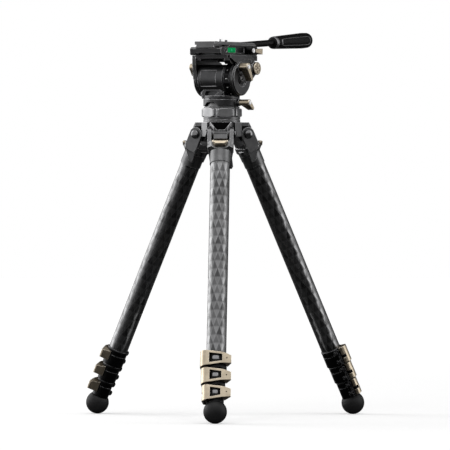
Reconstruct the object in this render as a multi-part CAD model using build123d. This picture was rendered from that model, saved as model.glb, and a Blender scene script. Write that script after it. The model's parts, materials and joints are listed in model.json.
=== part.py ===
from build123d import *
from math import cos, radians, sin
import os

# A video tripod with a fluid head, standing with its legs splayed. Millimetres,
# +Z up, origin on the floor under the tripod's centre line. The head looks
# along -Y, its pan handle points to +Y, and its lock levers are on the +X side.
#
# A leg is drawn in its own frame: the origin is its hinge pin, +Z runs up along
# the leg, -Y is the leg's outward face and +X is to the right seen from outside.
# A place along the leg is given as the distance below the pin.

# ---------------------------------------------------------------- driving sizes
clearance = 0.1           # running clearance on the radius
fit = 0.05                # clearance of a glued or pressed seat
seat_gap = 0.3            # between faces that slide past each other

leg_azimuths = {"front": 30, "right": 150, "left": 270}
splay = 25                # lean of each leg from upright
pivot_radius = 38
leg_length = 491          # hinge pin to the centre of the ball foot, sections closed

# leg tubes
tube_radius = 16
tube_wall = 1.3
tube_gap = 0.5
section_length = 340      # of the three inner tubes
tube_seat = 9.5           # depth of a tube end inside its lock collar

# flip locks
lock_pitch = 29
collar_height = 28.4
collar_wall = 1.2
collar_edge = 0.5         # bevel of its ends
ridge_rise = 0.25
ridge_place = 1.0         # below the collar's top
ridge_height = 2.0
line_place = 9.8          # groove below the ridge
line_width = 0.8
line_depth = 0.5
lug_reach = 6.2           # clamp lug beyond the collar
lug_front = 0.6
lug_rear = 4.0
lug_inset = 2.0           # lug below the collar's top
lug_low_inset = 1.0       # and above its lower end
slit = 1.0
lock_bolt_radius = 2.0
bolt_head_radius = 4.4
bolt_head_height = 4.0
bolt_edge = 0.6
bolt_socket_depth = 1.0
bolt_offset = 0.4         # outwards from the lug's middle
bolt_places = (7.0, 22.0)
ear_thickness = 4.4
ear_radius = 3.3
ear_place = 15.5          # centre of the lever's ear, below the collar's top
window_share = 0.62       # half of the lever's window over the collar's radius
pad_margin = 1.4          # window edge to the pad inside it
pad_height = 10.6
pad_place = 12.8          # centre of the pad, below the collar's top
pad_rise = 1.5
pad_corner = 3.5
lever_pin_radius = 1.5
lever_pin_length = 24
lever_height = 27.2
lever_front = 3.2         # lever's outer face beyond the collar, in front
lever_side = 8.2          # and at the hinged side
lever_corner = 11
lever_bend = 8            # where the lever's tip starts to slope back
lever_tip_reach = 25
lever_tip_front = 14.5
lever_tip_edge = 2.5      # flat at the lever's tip
lever_heel = 1.6          # lever beyond the collar, opposite its hinge
lever_knuckle = 4.5
lever_pin_front = 7.0
lever_slack = 0.6

# feet
foot_radius = 19
foot_flat = 12.5          # flat top above the ball's centre
foot_gap = 0.6            # last collar to the ball's flat top
foot_socket = 8

# yokes
ear_half_width = 21
ear_inner = 15.2
yoke_ear_radius = 11.4
sleeve_radius = 17.1
sleeve_start = 26
sleeve_end = 55
tube_start = 32
block_top = 20
block_front = 18.4
block_rear = 15
block_bottom = 29
skirt_end = 34
ear_end_front = 24        # an ear's lower edge, outward side
ear_end = 46              # and inward side
ear_tip_rise = 0.4        # an ear's tip beyond the sleeve

# hinge pins
leg_pin_radius = 4
pin_head_radius = 7.4
pin_head_height = 1.6

# angle latches
latch_place = 25.6
latch_height = 8.6
latch_top_width = 25.6
latch_bottom_width = 17
latch_thickness = 7.4
latch_bevel = 2.2
latch_stem_width = 9
latch_stem_height = 4.4
latch_stem_length = 14

# crown
hub_radius = 29.5
hub_depth = 4             # hub below the hinge pins
tongue_depth = 12         # hinge tongues below the pins
shoulder = 19.4           # underside of the step rings above the pins
step_radius = 30.2
step_height = 8.5
step_groove = 0.9
neck_radius = 23.8
post_reach = 32.5         # flat corner posts between the legs
post_half_width = 9.5
tongue_half_width = 11
washer_radius = 8.6
flare_half_width = 17.5
flare_reach = 3           # brace beyond the pin circle
pocket_half_width = 15.5
pocket_floor_half_width = 6.5
pocket_floor = 6.8        # above the pins
accessory_radius = 2.55   # tapping hole of a 1/4-inch screw
accessory_depth = 12
accessory_rise = 3        # above the pins
accessory_azimuth = 210

# level ring
ring_radius = 33
ring_flat = 30.8
ring_height = 13.8
ring_groove = 4.6
ring_groove_floor = 29.6
ring_lobes = 6
ring_turn = 44            # azimuth of one flat

# tie-down
rod_radius = 4
knob_top_radius = 13
knob_waist_radius = 14.5
knob_radius = 18.5
knob_height = 52.7
knob_flutes = 8
knob_flute_radius = 4
knob_flute_depth = 1.4
knob_slope = 6            # degrees

# pan base
base_rim_inset = 1.1      # base's rim inside the skirt's radius
base_rim = 2.2            # upright edge
base_cone_gap = 0.9       # foot of the cone to the skirt's inner face
base_cone_slope = 1.8     # cone's foot beyond its head
base_height = 10.3
spindle_radius = 18
spindle_height = 5

# skirt of the head round the pan base
skirt_radius = 30.3
skirt_low = 3.5           # skirt's lower edge above the base's underside
skirt_wall = 2.2
skirt_edge = 0.6
arch_azimuth = -7         # arch cut in the skirt's front
arch_half_width = 15
arch_top_half_width = 7.5
arch_height = 6.5
pan_groove_rise = 4.0     # groove above the pan joint
pan_groove_height = 1.3
pan_groove_depth = 2.5
pan_neck_inset = 0.9      # neck above the groove inside the skirt's radius
pan_boss_radius = 5.7
pan_boss_reach = 35.3
pan_lock_drop = 1.0       # pan lock's axis below the pan joint

# lock levers of the head
lock_hub_radius = 6.2
pan_hub_radius = 5.0
lock_hub_edge = 0.7
lever_base_width = 10.5
lever_end_width = 4
lever_end_thickness = 10.5
lock_stem_radius = 3
side_lock_length = 14.8   # hubs of the two locks beside the drum
side_lock_gap = 1.8
balance_lock_length = 17.2
tilt_lock_arm = 25
tilt_lock_angle = 27
balance_arm = 14
balance_angle = 20
pan_lock_length = 19.4
pan_lock_arm = 16
pan_lock_angle = 48
pan_lock_stem = 7
plate_lock_place = 29     # behind the tripod's axis
plate_lock_length = 13
plate_lock_stem = 8
plate_lock_arm = 28
plate_lock_base_width = 3.5
plate_lock_end_width = 9.6  # its blade widens to the end
plate_lock_angle = 88

# fluid drum
drum_rise = 37.4          # tilt axis above the pan joint
drum_radius = 29.3
drum_left = -30
drum_right = 19.5
drum_top = 23.2           # flat top above the tilt axis
drum_edge = 1.2
drum_wall = 6             # closed end of its cavity
cavity_radius = 20
panel_left = -24          # shallow panel on its front
panel_right = 6
panel_low = -12           # from the tilt axis
panel_high = 14
panel_depth = 0.7
saddle_half_depth = 21
saddle_left = -27
saddle_right = 17
dial_width = 13.3
dial_radius = 28.4
dial_facets = 12
dial_edge = 0.8
shaft_radius = 6
shaft_cap_radius = 9
shaft_cap_height = 1.6
spring_wire = 1.1
spring_turns = 6
spring_pitch = 4.2

# tilting cradle
left_plate = 7
right_plate = 6.2
arm_front = -32           # arms of the side plates, at the platform
arm_rear = 30
right_disc_radius = 27.6
disc_recess_radius = 13
disc_recess = 2.4
disc_edge = 2.2
left_edge = 1.5
lock_boss = 2             # boss round a lock's hub, beyond it
lock_boss_rise = 1.5
platform_rise = 33.2      # underside above the tilt axis
rail_depth = 3.0          # side rails under the platform
rail_width = 9
keel_depth = 4.7          # cross rib under the platform's rear
keel_front = 22
keel_rear = 44
gusset_width = 13         # gusset in front of the dial
slab_height = 5.5
slab_front = -34
slab_rear = 56
clamp_half_width = 30
clamp_front = -50
clamp_rear = 62
clamp_height = 16.5
rosette_back = 41
rosette_rise = 17.7
rosette_radius = 10.5
lock_hub_front = -6
lock_hub_rise = 19.5

# quick-release plate
plate_half_width = 19.5
plate_foot_half_width = 19
plate_neck_half_width = 16.5
plate_foot = 3.0
plate_neck = 2.0
plate_slab = 5.4
plate_front = -52
plate_rear = 72
plate_bevel = 11          # sloping rear end
screw_place = -5.5
screw_radius = 3.175
screw_rise = 4.6
screw_shank_radius = 2.9   # under the thread
screw_head_radius = 7.8
screw_head_depth = 3       # plate left above the head's recess
screw_slot_width = 1.8
twist_pin_place = 12.8
twist_pin_radius = 2.2
twist_pin_rise = 3.6
plate_edge = 1.0
plate_rear_drop = 2.6     # fall of its sloping end
plate_foot_edge = 0.7

# bubble level
vial_place = -17
vial_length = 24
vial_height = 8.4
vial_depth = 7
vial_radius = 2.8
vial_rise = 8.0           # above the clamp's underside
vial_end = 2              # case beyond the vial at each end

# pan handle
handle_radius = 5.2
handle_slope = 3.5
handle_axis_rise = 50.8   # height of the bar's line over the tilt axis, at Y = 0
handle_bend = 72
handle_bend_radius = 24
handle_stud_radius = 3
rosette_edge = 0.8
handle_end_radius = 5.5
cap_height = 4            # slotted cap on the free rosette
cap_slots = 6
cap_slot_place = 6        # slot's middle from the cap's axis
cap_slot_length = 4.4
cap_slot_width = 1.8
cap_slot_depth = 1.2
cap_centre_radius = 2
grip_start = 224
grip_end = 343
grip_front_radius = 10.2
grip_butt_radius = 13.2

# ---------------------------------------------------------------- worked out
pivot_height = leg_length * cos(radians(splay)) + foot_radius
lock_top = leg_length - foot_flat - foot_gap - collar_height - 2 * lock_pitch
shoulder_z = pivot_height + shoulder
ring_base = shoulder_z + step_height + seat_gap
base_z = ring_base + ring_height + seat_gap
base_radius = skirt_radius - base_rim_inset
base_foot_radius = skirt_radius - skirt_wall - base_cone_gap
base_top_radius = base_foot_radius - base_cone_slope
pan_neck_radius = skirt_radius - pan_neck_inset
pan_z = base_z + base_height
tilt_z = pan_z + seat_gap + drum_rise
platform_z = tilt_z + platform_rise
clamp_z = platform_z + slab_height
floor_z = clamp_z + clamp_height - plate_foot - plate_neck
plate_z = floor_z + seat_gap
slab_z = plate_z + plate_foot + plate_neck
plate_top = slab_z + plate_slab
dial_left = drum_right + seat_gap
disc_left = dial_left + dial_width + seat_gap
disc_right = disc_left + right_plate
left_outer = drum_left - seat_gap - left_plate
rosette_z = tilt_z + rosette_rise
handle_side = left_outer - seat_gap - handle_radius   # plane of the handle
lock_hub_z = tilt_z + lock_hub_rise
pan_lock_z = pan_z - pan_lock_drop
plate_lock_z = clamp_z + vial_rise
lever_widths = (lever_base_width, lever_end_width)
plate_lever_widths = (plate_lock_base_width, plate_lock_end_width)


# ---------------------------------------------------------------- small helpers
def block(x0, x1, y0, y1, z0, z1):
    """Box between two corners."""
    centre = ((x0 + x1) / 2, (y0 + y1) / 2, (z0 + z1) / 2)
    return Pos(*centre) * Box(x1 - x0, y1 - y0, z1 - z0)


def post(radius, z0, z1, x=0, y=0):
    """Upright cylinder from z0 to z1."""
    return Pos(x, y, (z0 + z1) / 2) * Cylinder(radius, z1 - z0)


def bar_x(radius, x0, x1, y=0, z=0):
    """Cylinder lying along X."""
    return Pos((x0 + x1) / 2, y, z) * Rot(0, 90, 0) * Cylinder(radius, x1 - x0)


def bar_y(radius, y0, y1, x=0, z=0):
    """Cylinder lying along Y."""
    return Pos(x, (y0 + y1) / 2, z) * Rot(90, 0, 0) * Cylinder(radius, y1 - y0)


def outline_xy(points, z0, z1):
    """Prism with an outline in the XY plane, from z0 to z1."""
    return extrude(Pos(0, 0, z0) * make_face(Polyline(*points, close=True)), z1 - z0)


def outline_yz(points, x0, x1):
    """Prism with an outline given as (y, z), from x0 to x1."""
    plane = Plane(origin=(x0, 0, 0), x_dir=(0, 1, 0), z_dir=(1, 0, 0))
    return extrude(plane * make_face(Polyline(*points, close=True)), x1 - x0)


def outline_xz(points, y0, y1):
    """Prism with an outline given as (x, z), from y0 to y1."""
    plane = Plane(origin=(0, y1, 0), x_dir=(1, 0, 0), z_dir=(0, -1, 0))
    return extrude(plane * make_face(Polyline(*points, close=True)), y1 - y0)


def turned(points):
    """Solid of revolution about Z from an outline given as (radius, z)."""
    face = make_face(Plane.XZ * Polyline(*points, close=True))
    return revolve(face, Axis.Z, 360)


def leg_place(azimuth):
    """Where a leg's own frame stands in the tripod."""
    a, lean = radians(azimuth), radians(splay)
    return Plane(
        origin=(pivot_radius * sin(a), -pivot_radius * cos(a), pivot_height),
        x_dir=(cos(a), sin(a), 0),
        z_dir=(-sin(lean) * sin(a), sin(lean) * cos(a), cos(lean)),
    ).location


def hub_place(azimuth):
    """A hinge's frame on the crown: origin on the pin, -Y outwards, +Z up."""
    a = radians(azimuth)
    return Plane(
        origin=(pivot_radius * sin(a), -pivot_radius * cos(a), pivot_height),
        x_dir=(cos(a), sin(a), 0),
        z_dir=(0, 0, 1),
    ).location


def write(name, *solids):
    """One STEP file for one node."""
    shape = solids[0] if len(solids) == 1 else Compound(children=list(solids))
    export_step(shape, f"parts/{name}.step")


# ---------------------------------------------------------------- leg sections
def tube_outer(n):
    return tube_radius - n * (tube_wall + tube_gap)


def collar_radius(n):
    return tube_outer(n) + collar_wall


def collar_top(n):
    return lock_top + n * lock_pitch


def tube(n):
    """Carbon tube number n, 0 at the top. Each slides inside the one above."""
    foot_end = leg_length - foot_flat + foot_socket - fit
    low = collar_top(n) + tube_seat if n < 3 else foot_end
    high = tube_start if n == 0 else low - section_length
    outer = post(tube_outer(n), -low, -high)
    return outer - post(tube_outer(n) - tube_wall, -low - 1, -high + 1)


def lever_pin_x(n):
    return -(collar_radius(n) + lever_side - lever_knuckle)


def lock_bolt(n, place):
    """Hex-socket bolt that draws the clamp lug together."""
    x, z = -(collar_radius(n) + lug_reach / 2 + bolt_offset), -(collar_top(n) + place)
    head = bar_y(bolt_head_radius, lug_rear, lug_rear + bolt_head_height, x, z)
    head = chamfer(head.edges().group_by(Axis.Y)[-1], bolt_edge)
    socket = Pos(x, lug_rear + bolt_head_height, z) * Rot(90, 0, 0) * extrude(
        RegularPolygon(bolt_head_radius * 0.55, 6), bolt_socket_depth, both=True
    )
    return head - socket + bar_y(lock_bolt_radius, -lug_front, lug_rear + 0.5, x, z)


def collar(n):
    """Clamp collar at the lower end of tube n, with its bolts and lever pin."""
    r, top = collar_radius(n), collar_top(n)
    low = top + collar_height
    body = post(r, -low, -top)
    body = chamfer(body.edges().filter_by(GeomType.CIRCLE), collar_edge)
    body += post(r + ridge_rise, -top - ridge_place - ridge_height, -top - ridge_place)
    line = post(r + 1, -top - line_place - line_width, -top - line_place)
    body -= line - post(r - line_depth, -low, -top)
    # the clamp lug on the hinged side
    x_out = -(r + lug_reach)
    body += block(x_out, -r + 2 * collar_wall, -lug_front, lug_rear, -low + lug_low_inset,
                  -top - lug_inset)
    # the ear that carries the lever
    ear_z = -(top + ear_place)
    pin_x, pin_y = lever_pin_x(n), -lever_pin_front
    low_z, high_z = ear_z - ear_thickness / 2, ear_z + ear_thickness / 2
    body += post(ear_radius, low_z, high_z, pin_x, pin_y)
    body += block(pin_x, -r * 0.7, pin_y - ear_radius, pin_y + ear_radius, low_z, high_z)
    # the rounded pad that shows through the lever's window
    pad_z = -(top + pad_place)
    pad_half = r * window_share - pad_margin
    pad = Pos(-0.3, -r, pad_z) * Rot(90, 0, 0) * extrude(
        RectangleRounded(2 * pad_half - 0.6, pad_height, pad_corner), pad_rise + 4, both=True
    )
    pad &= post(r + pad_rise, -low, -top)
    body += pad
    body -= post(tube_outer(n) + fit, -top - tube_seat - fit, -top + 1)
    body -= post(tube_outer(n + 1) + clearance + fit, -low - 1, -top)
    body -= block(x_out - 1, -tube_outer(n + 1) + 2, 1, 1 + slit, -low - 1, -top - tube_seat - 2)
    bolts = [lock_bolt(n, place) for place in bolt_places]
    pin_mid = -(top + ear_place)
    pin = post(lever_pin_radius, pin_mid - lever_pin_length / 2,
               pin_mid + lever_pin_length / 2 - 2, pin_x, pin_y)
    for part in bolts + [pin]:
        body -= part
    return [body] + bolts + [pin]


def lever(n):
    """Flip lever over the front of collar n, hinged on its left-hand side."""
    r, top = collar_radius(n), collar_top(n)
    side, front = r + lever_side, r + lever_front
    pin_x = lever_pin_x(n)
    tip = (lever_tip_reach, -lever_tip_front)
    tip_back = (lever_tip_reach, lever_tip_edge - lever_tip_front)
    heel = (r + lever_heel, 0)
    edge = [
        Line((pin_x, -lever_pin_front), (-side, -lever_pin_front)),
        Line((-side, -lever_pin_front), (-side, -(front - lever_corner))),
        RadiusArc((-side, -(front - lever_corner)), (-side + lever_corner, -front),
                  -lever_corner),
        Line((-side + lever_corner, -front), (lever_bend, -front)),
        Line((lever_bend, -front), tip),
        Line(tip, tip_back),
        Line(tip_back, heel),
        Line(heel, (0, 0)),
        Line((0, 0), (pin_x, -lever_pin_front)),
    ]
    face = make_face(Wire(edge))
    body = extrude(Pos(0, 0, -top - lever_height) * face, lever_height)
    body += post(lever_knuckle, -top - lever_height, -top, pin_x, -lever_pin_front)
    # slanted outline: full height at the hinge, narrow at the tip
    end = lever_tip_reach + 1
    shape = [(-side - 1, 0), (-14, 0.5), (0, 2.4), (14, 3.8), (end, 7.6), (end, 20.4),
             (11, 22.2), (-7, lever_height - 2), (-side - 1, lever_height)]
    body &= outline_xz([(x, -top - s) for x, s in shape], -front - 1, lever_knuckle)
    body -= post(r + lever_slack, -top - lever_height - 1, -top + 1)
    # window
    half = r * window_share
    window = [(-half, 4.8), (half, 7.4), (half, 18.6), (-half, 21.8)]
    body -= outline_xz([(x, -top - s) for x, s in window], -front - 1, -front + 9)
    # notch round the collar's ear, and the pin's bore
    ear_z = -(top + ear_place)
    low_z, high_z = ear_z - ear_thickness / 2 - 0.4, ear_z + ear_thickness / 2 + 0.4
    body -= post(lever_knuckle + 0.6, low_z, high_z, pin_x, -lever_pin_front)
    body -= block(pin_x, -8, -lever_pin_front - ear_radius - 0.4,
                  -lever_pin_front + ear_radius + 0.6, low_z, high_z)
    body -= post(lever_pin_radius + clearance, -top - lever_height - 1, -top + 1,
                 pin_x, -lever_pin_front)
    # small hole near the tip
    body -= bar_y(1.2, -lever_tip_front - 8, -lever_tip_front + 4, 18, -top - 13)
    return body


def foot():
    """Ball foot, flat on top, with a socket for the last tube."""
    ball = Pos(0, 0, -leg_length) * Sphere(foot_radius)
    top = -leg_length + foot_flat
    ball &= block(-foot_radius, foot_radius, -foot_radius, foot_radius,
                  -leg_length - foot_radius, top)
    return ball - post(tube_outer(3) + fit, top - foot_socket, top + 1)


# ---------------------------------------------------------------- leg yokes
def yoke():
    """Cast yoke: two ears on the hinge pin and a sleeve glued round the tube."""
    half = ear_half_width
    body = post(sleeve_radius, -sleeve_end, -sleeve_start)
    section = [(-half, -block_rear + 5), (-half + 4, -block_rear), (half - 4, -block_rear),
               (half, -block_rear + 5), (half, block_front - 9), (half - 8, block_front),
               (-half + 8, block_front), (-half, block_front - 9)]
    section = [(x, -y) for x, y in section]
    body += outline_xy(section, -block_bottom, -block_top)
    # the block's underside slopes in to the sleeve
    skirt = loft([
        Pos(0, 0, -block_bottom) * make_face(Polyline(*section, close=True)),
        Pos(0, 0, -skirt_end) * Circle(sleeve_radius + 0.2).face(),
    ])
    body += skirt
    for side in (-1, 1):
        x0, x1 = sorted((side * ear_inner, side * half))
        ear = bar_x(yoke_ear_radius, x0, x1)
        r = yoke_ear_radius
        ear += outline_yz([(-r, 0), (-r, -ear_end_front), (r - 7, -ear_end), (r, -ear_end), (r, 0)],
                          x0, x1)
        tip = sleeve_radius + ear_tip_rise
        taper = [(-half, yoke_ear_radius + 1), (half, yoke_ear_radius + 1),
                 (half, -ear_end_front), (tip, -ear_end), (-tip, -ear_end),
                 (-half, -ear_end_front)]
        body += ear & outline_xz(taper, -yoke_ear_radius - 1, yoke_ear_radius + 1)
    body -= post(tube_radius + fit, -sleeve_end - 1, -tube_start + fit)
    body -= bar_x(leg_pin_radius + clearance, -half - 1, half + 1)
    # V-shaped relief round the latch on the outward face
    relief = [(-half - 1, -block_top + 1), (half + 1, -block_top + 1),
              (latch_bottom_width / 2 + 3, -latch_place - latch_height / 2 - 2.5),
              (-latch_bottom_width / 2 - 3, -latch_place - latch_height / 2 - 2.5)]
    body -= outline_xz(relief, -block_front - 1, -block_front + 2)
    w, h = latch_stem_width / 2 + seat_gap, latch_stem_height / 2 + seat_gap
    body -= block(-w, w, -block_front - 1, -block_front + latch_stem_length + 1,
                  -latch_place - h, -latch_place + h)
    return body


def latch():
    """Pull-out angle latch: a bevelled tab on a square stem."""
    top, low = -latch_place + latch_height / 2, -latch_place - latch_height / 2
    a, b = latch_top_width / 2, latch_bottom_width / 2
    back = -(block_front - 2 + seat_gap)
    outline = [(-a, top), (a, top), (a, top - 2.4), (b, low), (-b, low), (-a, top - 2.4)]
    face_y = back - latch_thickness
    tab = outline_xz(outline, face_y + latch_bevel, back)
    # the bevelled front: the same outline shrunk towards its middle
    middle, shrink = -latch_place, 1 - 2 * latch_bevel / latch_height
    small = [(x * (1 - latch_bevel / a), middle + (z - middle) * shrink) for x, z in outline]
    tab += loft([Pos(0, y, 0) * make_face(Plane.XZ * Polyline(*points, close=True))
                 for y, points in ((face_y + latch_bevel, outline), (face_y, small))])
    w, h = latch_stem_width / 2, latch_stem_height / 2
    return tab + block(-w, w, back - 1, -block_front + latch_stem_length,
                       -latch_place - h, -latch_place + h)


# ---------------------------------------------------------------- crown
def crown_lug():
    """Hinge tongue and flared brace for one leg, in the hinge's frame."""
    tongue = [(-14, -7.5), (-10, 4), (-10, 14), (30, 14), (30, -hub_depth), (16, -hub_depth),
              (8, -tongue_depth), (0, -tongue_depth), (-8, -tongue_depth + 2)]
    t = tongue_half_width
    lug = outline_yz(tongue, -t, t)
    lug += bar_x(washer_radius, -ear_inner + seat_gap, ear_inner - seat_gap)
    lug += bar_x(washer_radius + 3, -t, t)
    top = shoulder
    f, reach = flare_half_width, flare_reach
    flare = [(-f, top), (-f, 13.4), (-14.6, 12.4), (-t, 4), (t, 4), (14.6, 12.4), (f, 13.4),
             (f, top)]
    brace = outline_xz(flare, -reach - 8, 18)
    brace -= Pos(0, -reach - 8, top) * Rot(45, 0, 0) * Box(60, 11, 11)
    brace &= outline_xy([(-f - 3, 18), (-f, -reach), (-t, -reach - 8), (t, -reach - 8),
                         (f, -reach), (f + 3, 18)], 0, top)
    lug += brace
    # pocket in the lug's outward face
    p, q = pocket_half_width, pocket_floor_half_width
    pocket = [(-p, top + 1), (-p, top - 1.6), (-q, pocket_floor), (q, pocket_floor),
              (p, top - 1.6), (p, top + 1)]
    lug -= outline_xz(pocket, -16, -1)
    return lug - bar_x(leg_pin_radius, -half_pin(), half_pin())


def half_pin():
    return ear_half_width + seat_gap


def crown():
    """Cast crown: hub, three hinge lugs, step rings and the threaded neck."""
    body = post(hub_radius, pivot_height - hub_depth, shoulder_z)
    for azimuth in leg_azimuths.values():
        body += hub_place(azimuth) * crown_lug()
    for azimuth in leg_azimuths.values():
        corner = Rot(0, 0, azimuth + 60 - 90)
        body += corner * block(0, post_reach, -post_half_width, post_half_width,
                               pivot_height - hub_depth, shoulder_z)
    half = step_height / 2
    body += post(step_radius, shoulder_z, shoulder_z + step_height)
    groove = post(step_radius + 1, shoulder_z + half - step_groove / 2,
                  shoulder_z + half + step_groove / 2)
    body -= groove - post(step_radius - 1.2, shoulder_z, shoulder_z + step_height)
    body += post(neck_radius, shoulder_z, ring_base + ring_height)
    body -= post(rod_radius + clearance, pivot_height - hub_depth - 1, base_z)
    # threaded accessory hole between the two rear legs
    return body - accessory_hole()


def accessory_hole():
    """Blind hole for a 1/4-inch accessory screw, in the hub's side."""
    hole = bar_x(accessory_radius, post_reach - accessory_depth, post_reach + 5, 0,
                 pivot_height + accessory_rise)
    return Rot(0, 0, accessory_azimuth - 90) * hole


def leg_pin():
    """Hinge pin with a round slotted head at each end, in the hinge's frame."""
    half = half_pin()
    pin = bar_x(leg_pin_radius, -half, half)
    for side in (-1, 1):
        x0, x1 = sorted((side * half, side * (half + pin_head_height)))
        head = bar_x(pin_head_radius, x0, x1)
        slot_x = side * (half + pin_head_height)
        head -= Pos(slot_x, 0, 0) * Box(1.4, 2 * pin_head_radius * 0.6, 1.8)
        pin += head
    return pin


def level_ring():
    """Locking ring with six flats parted by grooves, on the crown's neck."""
    z0, z1 = ring_base, ring_base + ring_height
    edge = 1.6
    body = turned([(neck_radius + clearance, z0), (ring_radius - edge, z0),
                   (ring_radius, z0 + edge), (ring_radius, z1 - edge),
                   (ring_radius - edge, z1), (neck_radius + clearance, z1)])
    step = 360 / ring_lobes
    start = ring_turn - 90
    for i in range(ring_lobes):
        at = Rot(0, 0, start + i * step)
        body -= at * block(ring_flat, ring_radius + 1, -ring_radius, ring_radius, z0 - 1, z1 + 1)
        corner = Rot(0, 0, start + (i + 0.5) * step)
        body -= corner * block(ring_groove_floor, ring_radius + 3, -ring_groove / 2,
                               ring_groove / 2, z0 - 1, z1 + 1)
    return body


def tie_down_knob():
    """Fluted handle under the crown on the rod that holds the head down."""
    top = pivot_height - hub_depth - seat_gap
    low = top - knob_height
    grip = turned([(0, top), (knob_top_radius, top), (knob_top_radius, top - 4),
                   (knob_waist_radius, top - 14), (knob_radius, low + 4),
                   (knob_radius - 2, low), (0, low)])
    # flutes lie along the grip's slope
    reach = (knob_waist_radius + knob_radius) / 2 + knob_flute_radius - knob_flute_depth
    for i in range(knob_flutes):
        flute = Pos(reach, 0, (low + top) / 2) * Rot(0, -knob_slope, 0) * Cylinder(
            knob_flute_radius, knob_height - 2 * knob_flute_radius)
        grip -= Rot(0, 0, i * 360 / knob_flutes) * flute
    return grip + post(rod_radius, low + 5, base_z + base_height / 2)


# ---------------------------------------------------------------- pan base
def pan_base():
    """Fixed lower half of the pan joint: rim, cone and spindle."""
    z0, z1 = base_z, pan_z
    body = turned([(0, z0), (base_radius, z0), (base_radius, z0 + base_rim),
                   (base_foot_radius, z0 + base_rim + 1), (base_top_radius, z1),
                   (spindle_radius, z1), (spindle_radius, z1 + spindle_height),
                   (0, z1 + spindle_height)])
    return body - post(rod_radius + clearance, z0 - 1, z0 + base_height / 2 + 1)


def lock_lever(x0, x1, y, z, angle, stem, arm, radius=lock_hub_radius, widths=lever_widths):
    """Lock lever: a round hub along X with an arm of a given width at the hub
    and at its end. The arm points straight down and is turned towards +Y."""
    hub = bar_x(radius, x0, x1)
    hub = chamfer(hub.edges().filter_by(GeomType.CIRCLE), lock_hub_edge)
    a, b = min(widths[0] / 2, radius - 0.6), widths[1] / 2
    blade = outline_yz([(-a, 0), (a, 0), (b, -arm), (-b, -arm)], x0, x1)
    blade &= outline_xz([(x0 + 1.5, 0), (x1, 0), (x1, -arm), (x1 - lever_end_thickness, -arm)],
                        -radius, radius)
    shape = hub + blade + bar_x(lock_stem_radius, x0 - stem, x0 + 1)
    return Pos(0, y, z) * Rot(angle, 0, 0) * shape


# ---------------------------------------------------------------- fluid drum
def pan_skirt():
    """Skirt of the head round the pan base, with an arch cut in its front, a
    groove above its right-hand half and the boss of the pan lock."""
    z0, z1 = base_z + skirt_low, pan_z + spindle_height + 5
    groove_z = pan_z + pan_groove_rise
    skirt = turned([(0, z0), (skirt_radius - skirt_edge, z0), (skirt_radius, z0 + skirt_edge),
                    (skirt_radius, groove_z), (pan_neck_radius, groove_z + pan_groove_height),
                    (pan_neck_radius, z1), (0, z1)])
    skirt += bar_x(pan_boss_radius, 20, pan_boss_reach, 0, pan_lock_z)
    # the arch: wide at the lower edge, narrower at its top
    a, b = arch_half_width, arch_top_half_width
    arch = [(-a, z0 - 1), (-a, z0), (-b, z0 + arch_height), (b, z0 + arch_height),
            (a, z0), (a, z0 - 1)]
    skirt -= Rot(0, 0, arch_azimuth) * outline_xz(arch, -skirt_radius - 1, -spindle_radius)
    # the groove runs from the arch round the operator's side
    groove = post(skirt_radius + 1, groove_z, groove_z + pan_groove_height)
    groove -= post(skirt_radius - pan_groove_depth, groove_z - 1, groove_z + 3)
    groove &= block(-6, skirt_radius + 2, -skirt_radius - 1, skirt_radius + 1,
                    groove_z - 1, groove_z + 3)
    skirt -= groove
    # room for the fixed base and its spindle
    gap = seat_gap
    skirt -= turned([(0, z0 - 1), (skirt_radius - skirt_wall, z0 - 1),
                     (skirt_radius - skirt_wall, z0), (base_top_radius + gap, pan_z + gap),
                     (spindle_radius + gap, pan_z + gap),
                     (spindle_radius + gap, pan_z + spindle_height + gap),
                     (0, pan_z + spindle_height + gap)])
    return skirt - bar_x(lock_stem_radius + clearance, base_top_radius, pan_boss_reach + 1, 0,
                         pan_lock_z)


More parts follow.
